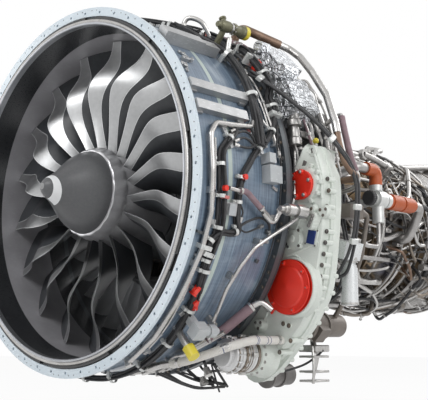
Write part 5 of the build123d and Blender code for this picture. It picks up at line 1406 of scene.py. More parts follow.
    def flange_bolts(self) -> None:
        """Bolts of the rear flange and the exit case, small studs of the inlet flange, and black discs
        painted as the shade in its small holes.
        """
        bolts, dark = builders(2)
        for k in range(72):
            angle = k * 5 + 2.5
            bolts.bolt(polar(self.flange_bolts_r, angle, 0.498), FORWARD, 0.0062)
            bolts.bolt(polar(self.flange_bolts_r, angle, 0.539), AFT, 0.0062)
            bolts.bolt(polar(self.exit_bolts_r, angle, 0.861), AFT, 0.0048)
        for k in range(48):
            base = k * 7.5
            for j in (1, 2):
                if (k * 7 + j) % 5 == 0:
                    continue
                # Painted shade: a thin black disc on the flange face stands for a small hole.
                dark.lathe(polar(0.777, base + 2.5 * j, 0.0004), FORWARD,
                           [(0.0027, 0), (0.0024, 0.0009), (0, 0.0009)], 8)
            bolts.bolt(polar(self.inlet_bolts_r, base, 0.014), AFT, 0.0065)
        self.finish(bolts, "flange_bolts", "dark_steel", "dark_flange")
        self.finish(dark, "flange_hole_shade_discs", "liner", "liner_black")

    def caps(self) -> None:
        """Red transport caps, tags and clamps on cable and tube ends."""
        red, pink, pale = builders(3)
        for angle, y, axis in ((-34.5, 0.126, -20), (-39.1, 0.158, 15)):
            out = polar(1, angle)
            base = polar(case_radius(y) + 0.016, angle, y)
            across = unit(np.cross(AFT, out))
            direction = across * math.cos(math.radians(axis)) + AFT * math.sin(math.radians(axis))
            red.lathe(base - direction * 0.018, direction,
                      [(0, 0), (0.014, 0), (0.015, 0.002), (0.0145, 0.034), (0.017, 0.036), (0.017, 0.04),
                       (0, 0.04)], 18)
        self.plate(red, 0.2, 0.262, (0.016, 0.044, 0.016), 24, 0)
        self.plate(pink, -7.4, 0.141, (0.024, 0.012, 0.036), 0, 1)
        self.plate(pink, 14.9, 0.314, (0.01, 0.04, 0.012), -18, 0)
        for angle, y in ((62.0, 0.45), (57.0, 0.475)):
            self.plate(pink, angle, y, (0.016, 0.03, 0.055), 10, 1)
        self.plate(red, 41.0, 0.52, (0.014, 0.024, 0.05), 0, 0)
        for angle, y, turn in ((43.3, 0.505, 14), (21.2, 0.488, 4), (-21.7, 0.085, 8), (-23.6, 0.112, 10)):
            self.plate(pale, angle, y, (0.06, 0.018, 0.052 if angle > 20 else 0.032), turn, 2)
        self.finish(red, "red_transport_caps", "red", "cover_red")
        self.finish(pink, "pink_cable_ties", "pink", "cover_red")
        self.finish(pale, "pale_bundle_clamps", "pale_clamp", "rail_silver")


# Dress of the accessory gearbox

BOX_FACE = 0.612
BOX_FACE_INNER = 0.589


@dataclass(frozen=True)
class BoxRow:
    """One row across the gearbox: outer edge, inner edge and the rear rim's radius."""

    outer: float
    outer_angle: float
    inner: float
    inner_angle: float
    rear: float


BOX_ROWS = tuple(BoxRow(*row) for row in (
    (0.848, 11.4, 0.838, 11.5, 0.836), (0.861, 10.9, 0.822, 11.2, 0.85), (0.87, 9.8, 0.809, 10.6, 0.858),
    (0.875, 8.2, 0.797, 9.4, 0.864), (0.879, 6.6, 0.78, 8.0, 0.87), (0.884, 4.9, 0.76, 6.2, 0.878),
    (0.89, 2.8, 0.744, 3.6, 0.889), (0.892, 0.2, 0.74, 0.4, 0.893), (0.89, -2.8, 0.74, -2.8, 0.895),
    (0.89, -6.1, 0.74, -6.4, 0.897), (0.896, -9.2, 0.74, -10.0, 0.899),
    (0.903, -12.3, 0.74, -13.6, 0.904), (0.906, -15.2, 0.74, -17.2, 0.909),
    (0.911, -18.0, 0.74, -20.6, 0.917), (0.916, -20.9, 0.74, -24.0, 0.926),
    (0.925, -23.7, 0.74, -27.4, 0.936), (0.935, -26.6, 0.74, -31.0, 0.946),
    (0.945, -29.6, 0.74, -34.6, 0.951), (0.952, -33.2, 0.74, -38.6, 0.95),
    (0.955, -37.4, 0.74, -42.8, 0.95), (0.949, -41.4, 0.74, -47.0, 0.946),
    (0.937, -46.4, 0.742, -51.4, 0.945), (0.925, -51.8, 0.748, -56.0, 0.95),
    (0.912, -57.2, 0.76, -60.2, 0.948), (0.895, -60.8, 0.785, -62.8, 0.93),
    (0.868, -63.0, 0.825, -63.8, 0.896),
))
FRONT_PROFILE = (("i", 0.004, 0.672), ("i", 0.0, 0.61), ("i", 0.001, 0.6), ("i", 0.004, 0.593),
                 ("i", 0.012, 0.589), ("o", -0.016, 0.612), ("o", -0.007, 0.614), ("o", -0.002, 0.62),
                 ("o", 0.0, 0.63), ("o", 0.0, 0.656), ("o", 0.007, 0.658), ("o", 0.007, 0.672))
REAR_PROFILE = (("i", 0.006, 0.805), ("i", 0.006, 0.7), ("i", 0.004, 0.673), ("o", 0.007, 0.673),
                ("o", 0.007, 0.684), ("r", 0.004, 0.688), ("r", 0.002, 0.715), ("r", -0.001, 0.731),
                ("r", -0.008, 0.737), ("r", -0.05, 0.742), ("r", -0.056, 0.805))


# Axes of the red pad, the rim round it, the large red cover and the generator, as (radius, angle)
PAD_AXIS = (0.794, 0.0)
COVER_AXIS = (0.797, 0.2)
BIG_COVER_AXIS = (0.843, -29.7)
GENERATOR_AXIS = (0.882, -51.6)
# Raised ribs of the gearbox face, as (radius, angle) points
RIBS = (((0.893, -15.6), (0.828, -18.8), (0.768, -22.1)),
        ((0.77, -22.0), (0.797, -20.9), (0.843, -21.7), (0.892, -23.5), (0.924, -25.6)),
        ((0.798, -9.2), (0.786, -13.0), (0.778, -18.5)), ((0.792, -40.4), (0.806, -45.0), (0.816, -49.7)),
        ((0.858, 9.8), (0.868, 5.0), (0.88, 0.6), (0.884, -4.0)),
        ((0.832, -49.7), (0.88, -53.0), (0.912, -56.0)))
# Bolt barrels of the rim, as (radius, angle); from LOW_BARREL on they stand lower
BARRELS = ((0.891, 1.1), (0.896, -2.0), (0.889, -6.1), (0.894, -8.6), (0.903, -12.5), (0.906, -15.4),
           (0.911, -18.3), (0.916, -21.1), (0.926, -23.9), (0.935, -26.7), (0.945, -29.5), (0.944, -32.4),
           (0.935, -34.9), (0.922, -37.9), (0.904, -39.0), (0.876, -39.8), (0.95, -41.5), (0.94, -46.0),
           (0.928, -51.5))
LOW_BARREL = 14
# Bosses of the gearbox face, as (radius, angle, size, height)
BOSSES = ((0.905, -7.6, 0.022, 0.016), (0.837, -23.2, 0.01, 0.008), (0.805, -44.9, 0.022, 0.03),
          (0.872, -47.9, 0.026, 0.012), (0.892, -54.7, 0.02, 0.014), (0.831, -57.4, 0.018, 0.014),
          (0.852, -7.0, 0.016, 0.02))
# (radius, station) outlines of the generator and of its adapter
GENERATOR_DRUM = ((0.0, 0.372), (0.046, 0.372), (0.05, 0.376), (0.05, 0.392), (0.064, 0.396), (0.068, 0.402),
                  (0.068, 0.424), (0.072, 0.426), (0.072, 0.438), (0.069, 0.44), (0.069, 0.5),
                  (0.073, 0.502), (0.073, 0.512), (0.069, 0.514), (0.069, 0.524), (0.0, 0.524))
GENERATOR_ADAPTER = ((0.0, 0.52), (0.066, 0.52), (0.07, 0.526), (0.07, 0.536), (0.076, 0.54), (0.078, 0.552),
                     (0.08, 0.575), (0.088, 0.6), (0.1, 0.622), (0.0, 0.622))
# Each mauve hose: (angle, station, lift) of its first end, sleeve and last end, then both radii
MAUVE_RUNS = (
    (
        ((-4.8, 0.15, 0.032), (-5.1, 0.206, 0.032)),
        ((-5.1, 0.206, 0.032), (-5.1, 0.245, 0.033), (-6.5, 0.281, 0.034), (-8.1, 0.32, 0.034),
         (-9.1, 0.346, 0.034)),
        ((-9.1, 0.346, 0.034), (-10.2, 0.379, 0.034), (-11.5, 0.413, 0.034), (-11.9, 0.438, 0.034),
         (-10.6, 0.449, 0.036), (-8.5, 0.43, 0.05)),
        0.0118, 0.0078,
    ),
    (
        ((-36.5, 0.515, 0.07), (-36.0, 0.48, 0.062), (-37.6, 0.452, 0.052)),
        ((-37.6, 0.452, 0.052), (-42.5, 0.405, 0.05), (-47.0, 0.366, 0.05), (-50.6, 0.312, 0.05)),
        ((-50.6, 0.312, 0.05), (-53.5, 0.292, 0.045), (-58.0, 0.284, 0.04), (-62.0, 0.29, 0.02)),
        0.0205, 0.0125,
    ),
)


def knurl_wave(angle: np.ndarray, depth: float) -> np.ndarray:
    """Scale of the radius by angle that cuts 24 square teeth."""
    return 1 + depth * np.sign(np.sin(24 * angle))


def box_face_y(radius: float) -> float:
    """Station of the gearbox's slanted front face at a radius."""
    return float(np.interp(radius, (0.752, 0.876), (BOX_FACE_INNER, BOX_FACE)))


def on_box(radius: float, angle: float, lift: float = 0.0) -> np.ndarray:
    """Point on the gearbox's front face, or in front of it by lift."""
    return polar(radius, angle, box_face_y(radius) - lift)


@dataclass
class GearboxCasting(Dress):
    """The accessory gearbox's two housings: a closed profile swept from the top lug to the lower end."""

    def rows(self) -> Tuple[np.ndarray, np.ndarray, np.ndarray]:
        """Many rows, evenly spaced along the casting by a smooth curve through BOX_ROWS.

        Returns:
            Outer points, inner points and rear rim points, at station zero.
        """
        table = []
        for row in BOX_ROWS:
            outer, inner = polar(row.outer, row.outer_angle), polar(row.inner, row.inner_angle)
            rear = polar(row.rear, row.outer_angle)
            table.append([outer[0], outer[2], inner[0], inner[2], rear[0], rear[2]])
        fine = smooth_path(table, 0.012)
        still = np.zeros(len(fine))
        return tuple(np.stack([fine[:, k], still, fine[:, k + 1]], 1) for k in (0, 2, 4))

    def sweep(self, b: Builder, profile: Sequence[Tuple[str, float, float]]) -> None:
        """Sweeps a closed profile over the rows and closes both ends.

        Args:
            b: builder that takes the housing.
            profile: (edge that the point follows, shift across the casting, station) of each point.
        """
        outer, inner, rear = self.rows()
        across = outer - inner
        across /= np.linalg.norm(across, axis=1, keepdims=True)
        start = {"o": outer, "i": inner, "r": rear}
        loops = []
        for edge, shift, y in profile:
            wide = np.minimum(1.0, np.linalg.norm(outer - inner, axis=1) / 0.1)[:, None]
            loops.append(start[edge] + across * shift * (wide if edge == "r" else 1.0) + vec(0.0, y, 0.0))
        points = np.stack(loops, 1)
        first, last = points[:1].mean(1, keepdims=True), points[-1:].mean(1, keepdims=True)
        count = points.shape[1]
        b.grid(np.concatenate([first.repeat(count, 1), points, last.repeat(count, 1)]), wrap_v=True)

    def add(self) -> None:
        """Builds the front housing with its top ear, and the rear housing."""
        front, rear = builders(2)
        self.sweep(front, FRONT_PROFILE)
        self.sweep(rear, REAR_PROFILE)
        ear = polar(0.766, 9.6, 0.64)
        front.lathe(ear, FORWARD, [(0.0, -0.03), (0.019, -0.03), (0.02, 0.0), (0.019, 0.028), (0.016, 0.032),
                (0, 0.032)], 24)
        front.box(polar(0.778, 6.6, 0.638), (polar(1, 9.6), AFT, polar(1, 99.6)), (0.05, 0.054, 0.06), 0.006)
        self.finish(front, "gearbox_front_casting", "gearbox", "gearbox_green", ("gearbox_front_housing",))
        self.finish(rear, "gearbox_rear_casting", "gearbox", "gearbox_green", ("gearbox_rear_housing",))


@dataclass
class GearboxDress(Dress):
    """Bolts, bosses, ribs, pads, valves and cover details on the accessory gearbox."""

    def add(self) -> None:
        """Builds every piece of the gearbox's dress."""
        self.casting()
        self.covers()
        self.valves()
        self.generator_dress()
        self.hoses()
        self.rear_units()

    def boss(self, b: Builder, place: np.ndarray, radius: float, height: float) -> None:
        """Adds a cast boss with a filleted foot and a chamfered rim, standing forward from its place."""
        b.lathe(place, FORWARD, [(radius * 1.35, 0), (radius * 1.1, height * 0.25), (radius, height * 0.5),
                                      (radius, height * 0.92), (radius * 0.92, height), (0, height)], 20)

    def casting(self) -> None:
        """Ribs, bolt barrels, pads and lug eyes of the casting, with their bolts, the blank plate, and dark
        pieces painted as the shade in the lug eyes and a pocket.
        """
        paint, steel, blue, dark = builders(4)
        for rib in RIBS:
            paint.pipe([on_box(r, a, 0.001) for r, a in rib], 0.0052, 8, 0.01)
        for k, (radius, angle) in enumerate(BARRELS):
            place = polar(radius + 0.008, angle, 0.63 if k < LOW_BARREL else 0.602)
            deep = 0.674 - place[1]
            paint.lathe(place, AFT, [(0, 0), (0.0092, 0), (0.0102, 0.003), (0.0108, deep), (0, deep)], 16)
            steel.bolt(place, FORWARD, 0.0066)
        for radius, angle, size, tall in BOSSES:
            place = on_box(radius, angle)
            self.boss(paint, place, size, tall)
            for k in range(3 if size > 0.018 else 1):
                off = size * 0.72 if size > 0.018 else 0.0
                steel.bolt(place + polar(off, 120 * k + 30, -tall), FORWARD, 0.0045)
        oval = on_box(0.782, -16.3)
        self.boss(paint, oval, 0.036, 0.012)
        self.boss(paint, oval + vec(-0.004, -0.01, 0), 0.014, 0.008)
        for turn in (48, 132, 228, 312):
            place = oval + polar(0.043, turn, 0.004)
            self.boss(paint, place, 0.0085, 0.014)
            steel.bolt(place + AFT * -0.014, FORWARD, 0.0042)
        seat = on_box(0.861, -14.7)
        radial, tangent = polar(1, -14.7), polar(1, 75.3)
        paint.box(seat + AFT * -0.003, (radial, tangent, AFT), (0.058, 0.07, 0.01), 0.003)
        blue.box(seat + AFT * -0.0095, (radial, tangent, AFT), (0.04, 0.056, 0.004), 0.001)
        for sx in (-1, 1):
            for sz in (-1, 1):
                steel.bolt(seat + radial * sx * 0.025 + tangent * sz * 0.031 + AFT * -0.008, FORWARD, 0.0028)
        for radius, angle, size, wide in ((0.851, 9.4, 0.011, 0.023), (0.828, 9.6, 0.004, 0.009)):
            eye = on_box(radius, angle)
            paint.lathe(eye, FORWARD, [(wide * 1.1, -0.002), (wide, 0.004), (size * 1.25, 0.006),
                    (size, 0.004), (size, -0.002)], 24)
            # Painted shade: a dark disc fills the lug eye.
            dark.lathe(eye, FORWARD, [(size, 0.0012), (0, 0.0012)], 16)
        # Painted shade: a thin dark plate stands for a pocket in the face.
        dark.box(on_box(0.799, 6.9, 0.0008), (polar(1, -30), polar(1, 60), AFT), (0.048, 0.026, 0.003), 0.001)
        for k in range(14):
            angle = -2.0 - 4.3 * k
            rear = float(np.interp(-angle, [-r.outer_angle for r in BOX_ROWS], [r.rear for r in BOX_ROWS]))
            place = polar(rear - 0.004, angle, 0.737)
            if k > 4:
                paint.lathe(place, FORWARD, [(0, -0.004), (0.01, -0.004), (0.01, 0.022), (0.007, 0.026),
                        (0, 0.026)], 12)
        self.finish(paint, "gearbox_ribs_and_bosses", "gearbox", "gearbox_green")
        self.finish(steel, "gearbox_bolts", "dark_steel", "gear_steel")
        self.finish(blue, "blank_plate", "blue", "box_grey")
        self.finish(dark, "gearbox_painted_hole_shade", "pump", "pump_dark")

    def covers(self) -> None:
        """Bolts, ears, rims and steps of the two red covers."""
        red, steel, pale = builders(3)
        pad = polar(*PAD_AXIS, 0.5775)
        for turn in (80, 14, -62, -112, -175, 128):
            place = pad + polar(0.052, turn, 0.001)
            red.lathe(place, FORWARD, [(0.013, 0), (0.0115, 0.006), (0.008, 0.008), (0, 0.008)], 14)
            steel.bolt(place + AFT * -0.0075, FORWARD, 0.0055)
        red.lathe(polar(*PAD_AXIS, 0.593), FORWARD,
                  [(0.058, 0), (0.062, 0.002), (0.062, 0.013), (0.06, 0.0155), (0, 0.0155)], 48)
        pale.lathe(polar(*COVER_AXIS, 0.615), FORWARD,
                   [(0.098, -0.012), (0.088, 0.0), (0.082, 0.006), (0.079, 0.012), (0.077, 0.02),
                    (0.073, 0.023), (0.062, 0.024), (0, 0.024)], 44)
        for k in range(5):
            turn = -60 + 30 * k
            pale.box(polar(*COVER_AXIS, 0.606) + polar(0.084, turn),
                     (polar(1, turn), AFT, polar(1, turn + 90)), (0.02, 0.036, 0.016), 0.003)
        big = polar(*BIG_COVER_AXIS, 0.583 - 0.014)
        red.lathe(big, FORWARD, [(0.1128, 0.0005), (0.111, 0.003), (0.086, 0.003), (0.081, 0.0075),
                (0.078, 0.009), (0.01, 0.009), (0.006, 0.011), (0, 0.011)], 64)
        for turn in (100, 36, -4, -74, -140, 168):
            place = big + polar(0.0985, turn, -0.003)
            red.lathe(place, FORWARD, [(0.0085, 0), (0.0078, 0.005), (0.005, 0.007), (0, 0.007)], 14)
            steel.lathe(place, FORWARD, [(0.003, 0.0072), (0.003, 0.0082), (0, 0.0082)], 8)
        for turn in (118, 226):
            red.box(big + polar(0.128, turn, 0.012), (polar(1, turn), polar(1, turn + 90), AFT),
                    (0.036, 0.014, 0.01), 0.003)
        pale.lathe(big + AFT * 0.02, FORWARD, [(0.136, -0.034), (0.128, -0.022), (0.123, -0.016),
                (0.122, 0.0), (0.119, 0.004), (0.1145, 0.004)], 64)
        self.finish(red, "cover_bolt_seats", "red", "cover_red")
        self.finish(steel, "cover_bolts", "tube", "tube_steel")
        self.finish(pale, "cover_rims", "gearbox", "gearbox_green")

    def valves(self) -> None:
        """Pale valve cluster between the covers, its knurled ring, and the silver casting above."""
        pale, black, steel, red = builders(4)
        centre = polar(0.775, -8.6, 0.615)
        left = unit(vec(-0.72, -0.6, 0.1))
        for shift, radius, length in ((0.0, 0.024, 0.05), (0.04, 0.019, 0.03), (0.062, 0.014, 0.02)):
            pale.lathe(centre + left * shift, left,
                       [(0, 0), (radius, 0), (radius, length * 0.8), (radius * 0.86, length), (0, length)],
                       20)
        knurl = centre + left * 0.084
        black.lathe(knurl, left, [(0, 0), (0.0155, 0), (0.0165, 0.002), (0.0165, 0.022), (0.0155, 0.024),
                (0, 0.024)], 48, wave=lambda a: knurl_wave(a, 0.035))
        red.lathe(knurl + left * 0.024, left, [(0.0065, 0), (0.006, 0.003), (0, 0.003)], 12)
        rng = np.random.default_rng(11)
        for k in range(16):
            place = centre + vec(rng.uniform(-0.03, 0.075), rng.uniform(-0.03, 0.035),
                                 rng.uniform(-0.035, 0.03))
            size = rng.uniform(0.008, 0.016)
            axis = unit(rng.normal(0, 1, 3))
            pale.lathe(place, axis, [(0, -size), (size, -size), (size * 1.1, 0), (size, size), (0, size)], 12)
            steel.bolt(place + axis * size, axis, 0.0045)
        for k in range(4):
            place = on_box(0.868 - 0.004 * k, -9.0 - k * 0.9)
            self.boss(pale, place, 0.017, 0.03)
            steel.bolt(place + AFT * -0.03, FORWARD, 0.006)
        column = polar(0.785, 15.0, 0.6)
        up = unit(vec(-0.12, 0.05, 1.0))
        for shift, radius, length in ((-0.03, 0.026, 0.035), (0.005, 0.02, 0.05), (0.055, 0.03, 0.03),
                (0.085, 0.022, 0.04), (0.125, 0.014, 0.03)):
            steel.lathe(column + up * shift, up, [(0, 0), (radius, 0), (radius * 1.04, length * 0.3),
                    (radius, length * 0.8), (radius * 0.8, length), (0, length)], 24)
        for k in range(6):
            a = math.radians(60 * k)
            steel.bolt(column + up * 0.085 + vec(math.cos(a) * 0.026, math.sin(a) * 0.026, 0), up, 0.0045)
        steel.box(column + vec(-0.02, 0.05, 0.03), SQUARE, (0.03, 0.12, 0.03), 0.004)
        self.finish(pale, "gearbox_valves", "gearbox", "gearbox_green")
        self.finish(black, "knurled_ring", "rubber", "harness_black")
        self.finish(steel, "valve_casting", "valve", "valve_steel")
        self.finish(red, "valve_dot", "red", "cover_red")

    def generator_dress(self) -> None:
        """The generator: a stepped drum with bands, ribs and connectors, and its adapter."""
        bright, dark, steel, paint = builders(4)
        centre = polar(*GENERATOR_AXIS, 0.0)
        bright.lathe(centre, AFT, GENERATOR_DRUM, 56)
        paint.lathe(centre, AFT, GENERATOR_ADAPTER, 56)
        for y, radius, width in ((0.404, 0.0705, 0.005), (0.446, 0.0715, 0.012), (0.47, 0.0705, 0.004),
                (0.484, 0.0705, 0.004), (0.516, 0.0745, 0.014)):
            dark.lathe(centre + AFT * y, AFT, [(0.066, 0), (radius, 0), (radius + 0.001, width / 2),
                    (radius, width), (0.066, width)], 48)
        for k in range(16):
            turn = 22.5 * k
            axes = (AFT, polar(1, turn + 90), polar(1, turn))
            bright.box(centre + polar(0.072, turn, 0.414), axes, (0.03, 0.006, 0.012), 0.002)
            dark.box(centre + polar(0.0725, turn, 0.452), axes, (0.016, 0.012, 0.008), 0.002)
            steel.bolt(centre + polar(0.08, turn, 0.552), FORWARD, 0.0045)
            if k % 4 == 0:
                steel.box(centre + polar(0.076, turn, 0.492), axes, (0.028, 0.022, 0.014), 0.003)
        self.finish(bright, "generator_drum", "generator", "generator_metal", ("generator",))
        self.finish(dark, "generator_dark_rings", "dark_steel", "generator_metal")
        self.finish(steel, "generator_bolts", "tube", "tube_steel")
        self.finish(paint, "generator_adapter", "gearbox", "gearbox_green")

    def hoses(self) -> None:
        """Pale braided sleeve over the big oil tube, end rings on the mauve hoses and small cables."""
        cream, blue, steel, black = builders(4)
        route = polars((0.915, -43.8, 0.655), (0.915, -43.8, 0.52), (0.9145, -43.9, 0.43),
                       (0.906, -46.3, 0.345), (0.886, -51, 0.275), (0.862, -56, 0.232), (0.838, -60, 0.212))
        path = smooth_path(route, 0.01)
        cream.tube(path, 0.0176, 20)
        for at in (0.22, 0.25, 0.34, 0.37, 0.62):
            collar(blue, path, at, 0.0175, 0.003, 0.0006)
        for at in (0.06, 0.12, 0.95):
            collar(steel, path, at, 0.0178, 0.012, 0.003)
        rng = np.random.default_rng(21)
        for k in range(10):
            start = polar(0.8 + rng.uniform(0.01, 0.03), -62 - rng.uniform(0, 10), 0.26 + 0.05 * k * 0.6)
            end = polar(0.9 + rng.uniform(-0.03, 0.02), -66 - rng.uniform(0, 6),
                        0.56 + rng.uniform(-0.05, 0.08))
            middle = (start + end) / 2 + polar(1, -70) * rng.uniform(0.0, 0.03)
            black.pipe([start, middle, end], rng.choice((0.004, 0.0055, 0.007)), 10, 0.012)
        for angle, y in ((-60.0, 0.4), (-66, 0.46)):
            base = polar(0.862, angle, y)
            steel.lathe(base, polar(1, angle), [(0, 0), (0.014, 0), (0.014, 0.02), (0.018, 0.022),
                    (0.018, 0.034), (0, 0.034)], 16)
        self.mauve_hoses()
        self.finish(cream, "pale_oil_sleeve", "cream", "filter_white")
        self.finish(blue, "sleeve_marks", "blue", "box_grey")
        self.finish(steel, "hose_end_rings", "tube", "tube_steel")
        self.finish(black, "lower_cables", "harness", "harness_black")

    def mauve_hoses(self) -> None:
        """Mauve sleeved hoses with their steel ends."""
        mauve, steel = builders(2)
        for first, middle, last, thick, thin in MAUVE_RUNS:
            start, hose, end = (dense_path(part, 7.0, 0.008) for part in (first, middle, last))
            steel.tube(start, thin, 14)
            mauve.tube(hose, np.interp(np.linspace(0, 1, len(hose)), (0, 0.03, 0.97, 1),
                    (thin * 1.2, thick, thick, thin * 1.2)), 20)
            steel.tube(end, thin, 14)
            collar(steel, hose, 0.02, thick, 0.01)
            collar(steel, hose, 0.98, thick, 0.01)
        top = smooth_path(polars((0.9, 21, 0.822), (0.899, 18, 0.812), (0.899, 13, 0.806),
                (0.899, 8.5, 0.812), (0.9, 5, 0.836)), 0.01)
        mauve.tube(top, 0.0142, 18)
        steel.pipe(polars((0.76, 22.5, 0.836), (0.86, 22.4, 0.832), (0.895, 21.8, 0.826), (0.9, 21, 0.822)),
                   0.011, 12, 0.01)
        steel.pipe(polars((0.9, 5, 0.836), (0.897, 3, 0.852), (0.87, 1, 0.862), (0.8, 0, 0.864)), 0.011, 12,
                   0.01)
        self.finish(mauve, "mauve_sleeves", "mauve", "hose_mauve", ("mauve_hoses",))
        self.finish(steel, "hose_steel_ends", "tube", "tube_steel")

    def rear_units(self) -> None:
        """Ribbed cooler block, filter rings and small lines behind the gearbox."""
        steel, black, blue = builders(3)
        centre = vec(0.585, 0.93, -0.735)
        for k in range(9):
            top = centre + vec(0.03 - 0.004 * k, -0.05 + 0.012 * k, 0.075)
            low = centre + vec(0.04 - 0.01 * k, -0.06 + 0.012 * k, -0.085)
            steel.pipe([top, (top + low) / 2 + vec(0.008, -0.006, 0), low], 0.0058, 10, 0.012)
        for z in (0.03, -0.035, -0.075):
            steel.box(centre + vec(0.006, -0.008, z), SQUARE, (0.085, 0.11, 0.01), 0.002)
        steel.box(centre + vec(0, 0, 0.065), SQUARE, (0.1, 0.1, 0.03), 0.004)
        steel.pipe([centre + vec(0, 0, 0.07), centre + vec(0.02, -0.03, 0.11), polar(0.86, -42, 0.9)], 0.014,
                   12, 0.01)
        black.pipe([polar(0.93, -56, 0.78), polar(0.94, -52, 0.86), polar(0.93, -49, 0.92),
                    centre + vec(0.05, 0.0, 0.06)], 0.005, 10, 0.01)
        can = vec(0.805, 0.897, 0.0)
        for z, radius, wide in ((-0.282, 0.0405, 0.012), (-0.3, 0.0395, 0.005), (-0.475, 0.04, 0.008)):
            steel.lathe(can + vec(0, 0, z), (0, 0, -1),
                        [(0.037, 0), (radius, 0), (radius, wide), (0.037, wide)], 36)
        blue.lathe(can + vec(0, 0, -0.262), (0, 0, -1), [(0.0, 0), (0.02, 0), (0.02, 0.01), (0.0, 0.01)], 24)
        for shift in (0.0, 0.02):
            line = [polar(0.78, 10, 0.83 + shift), polar(0.8, 2, 0.86 + shift), polar(0.8, -8, 0.87 + shift),
                    polar(0.83, -15, 0.88 + shift), vec(0.8, 0.87 + shift, -0.33),
                    vec(0.76 + shift, 0.86, -0.43), polar(0.83, -38, 0.85)]
            black.pipe(line, 0.0055, 10, 0.012)
        self.finish(steel, "rear_unit_metal", "tube", "tube_steel")
        black.lathe((0.559, 1.44, 0.07), AFT, [(0, -0.012), (0.034, -0.012), (0.038, -0.008), (0.038, 0.014),
                (0.036, 0.016)], 48, wave=lambda a: knurl_wave(a, 0.03))
        rng = np.random.default_rng(33)
        for k in range(16):
            place = vec(0.559 + rng.uniform(-0.03, 0.05), 1.44 + rng.uniform(0.02, 0.15),
                        0.07 + rng.uniform(-0.05, 0.04))
            axis = unit(rng.normal(0, 1, 3))
            steel.lathe(place, axis, [(0, 0), (0.012, 0), (0.012, 0.03), (0.008, 0.034), (0.008, 0.046),
                    (0, 0.046)], 12)
        self.finish(black, "rear_unit_cables", "harness", "harness_black")
        self.finish(blue, "filter_blue_ring", "blue", "box_grey")


# Dress of the core

# How far the end of a tube goes into the case that it stands on
FOOT_SINK = 0.002
# (station, radius) of the bare core, and of the outside of its pipework
CORE_STATIONS = ((0.9, 0.335), (1.05, 0.315), (1.4, 0.288), (1.64, 0.262), (1.7, 0.34), (1.74, 0.388),
                 (2.0, 0.405), (2.16, 0.392), (2.3, 0.372), (2.45, 0.396), (2.6, 0.42), (2.7, 0.458),
                 (2.75, 0.44), (3.0, 0.428))
CORE_ENVELOPE = ((0.9, 0.4), (1.2, 0.4), (1.5, 0.42), (1.85, 0.467), (2.03, 0.5), (2.25, 0.52), (2.46, 0.49),
                 (2.7, 0.462), (2.85, 0.455))


def core_radius(y: float) -> float:
    """Outer radius of the bare core cases at station y."""
    return float(np.interp(y, *zip(*CORE_STATIONS)))


def core_reach(y: float) -> float:
    """Outer radius of the dress round the core at station y."""
    return float(np.interp(y, *zip(*CORE_ENVELOPE)))


def studded_box(b: Builder, radius: float, angle: float, y: float, size: Place, bevel: float) -> None:
    """Adds a small box that stands on a round case, with a bolt on top.

    Args:
        b: builder that takes the box.
        radius: where its foot is.
        angle: its angle round the case.
        y: its station.
        size: along the shaft, round the case and high.
        bevel: width of its chamfers.
    """
    out = polar(1, angle)
    b.box(polar(radius + size[2] / 2, angle, y), (AFT, np.cross(AFT, out), out), size, bevel)
    b.bolt(polar(radius + size[2], angle, y), out, 0.005)


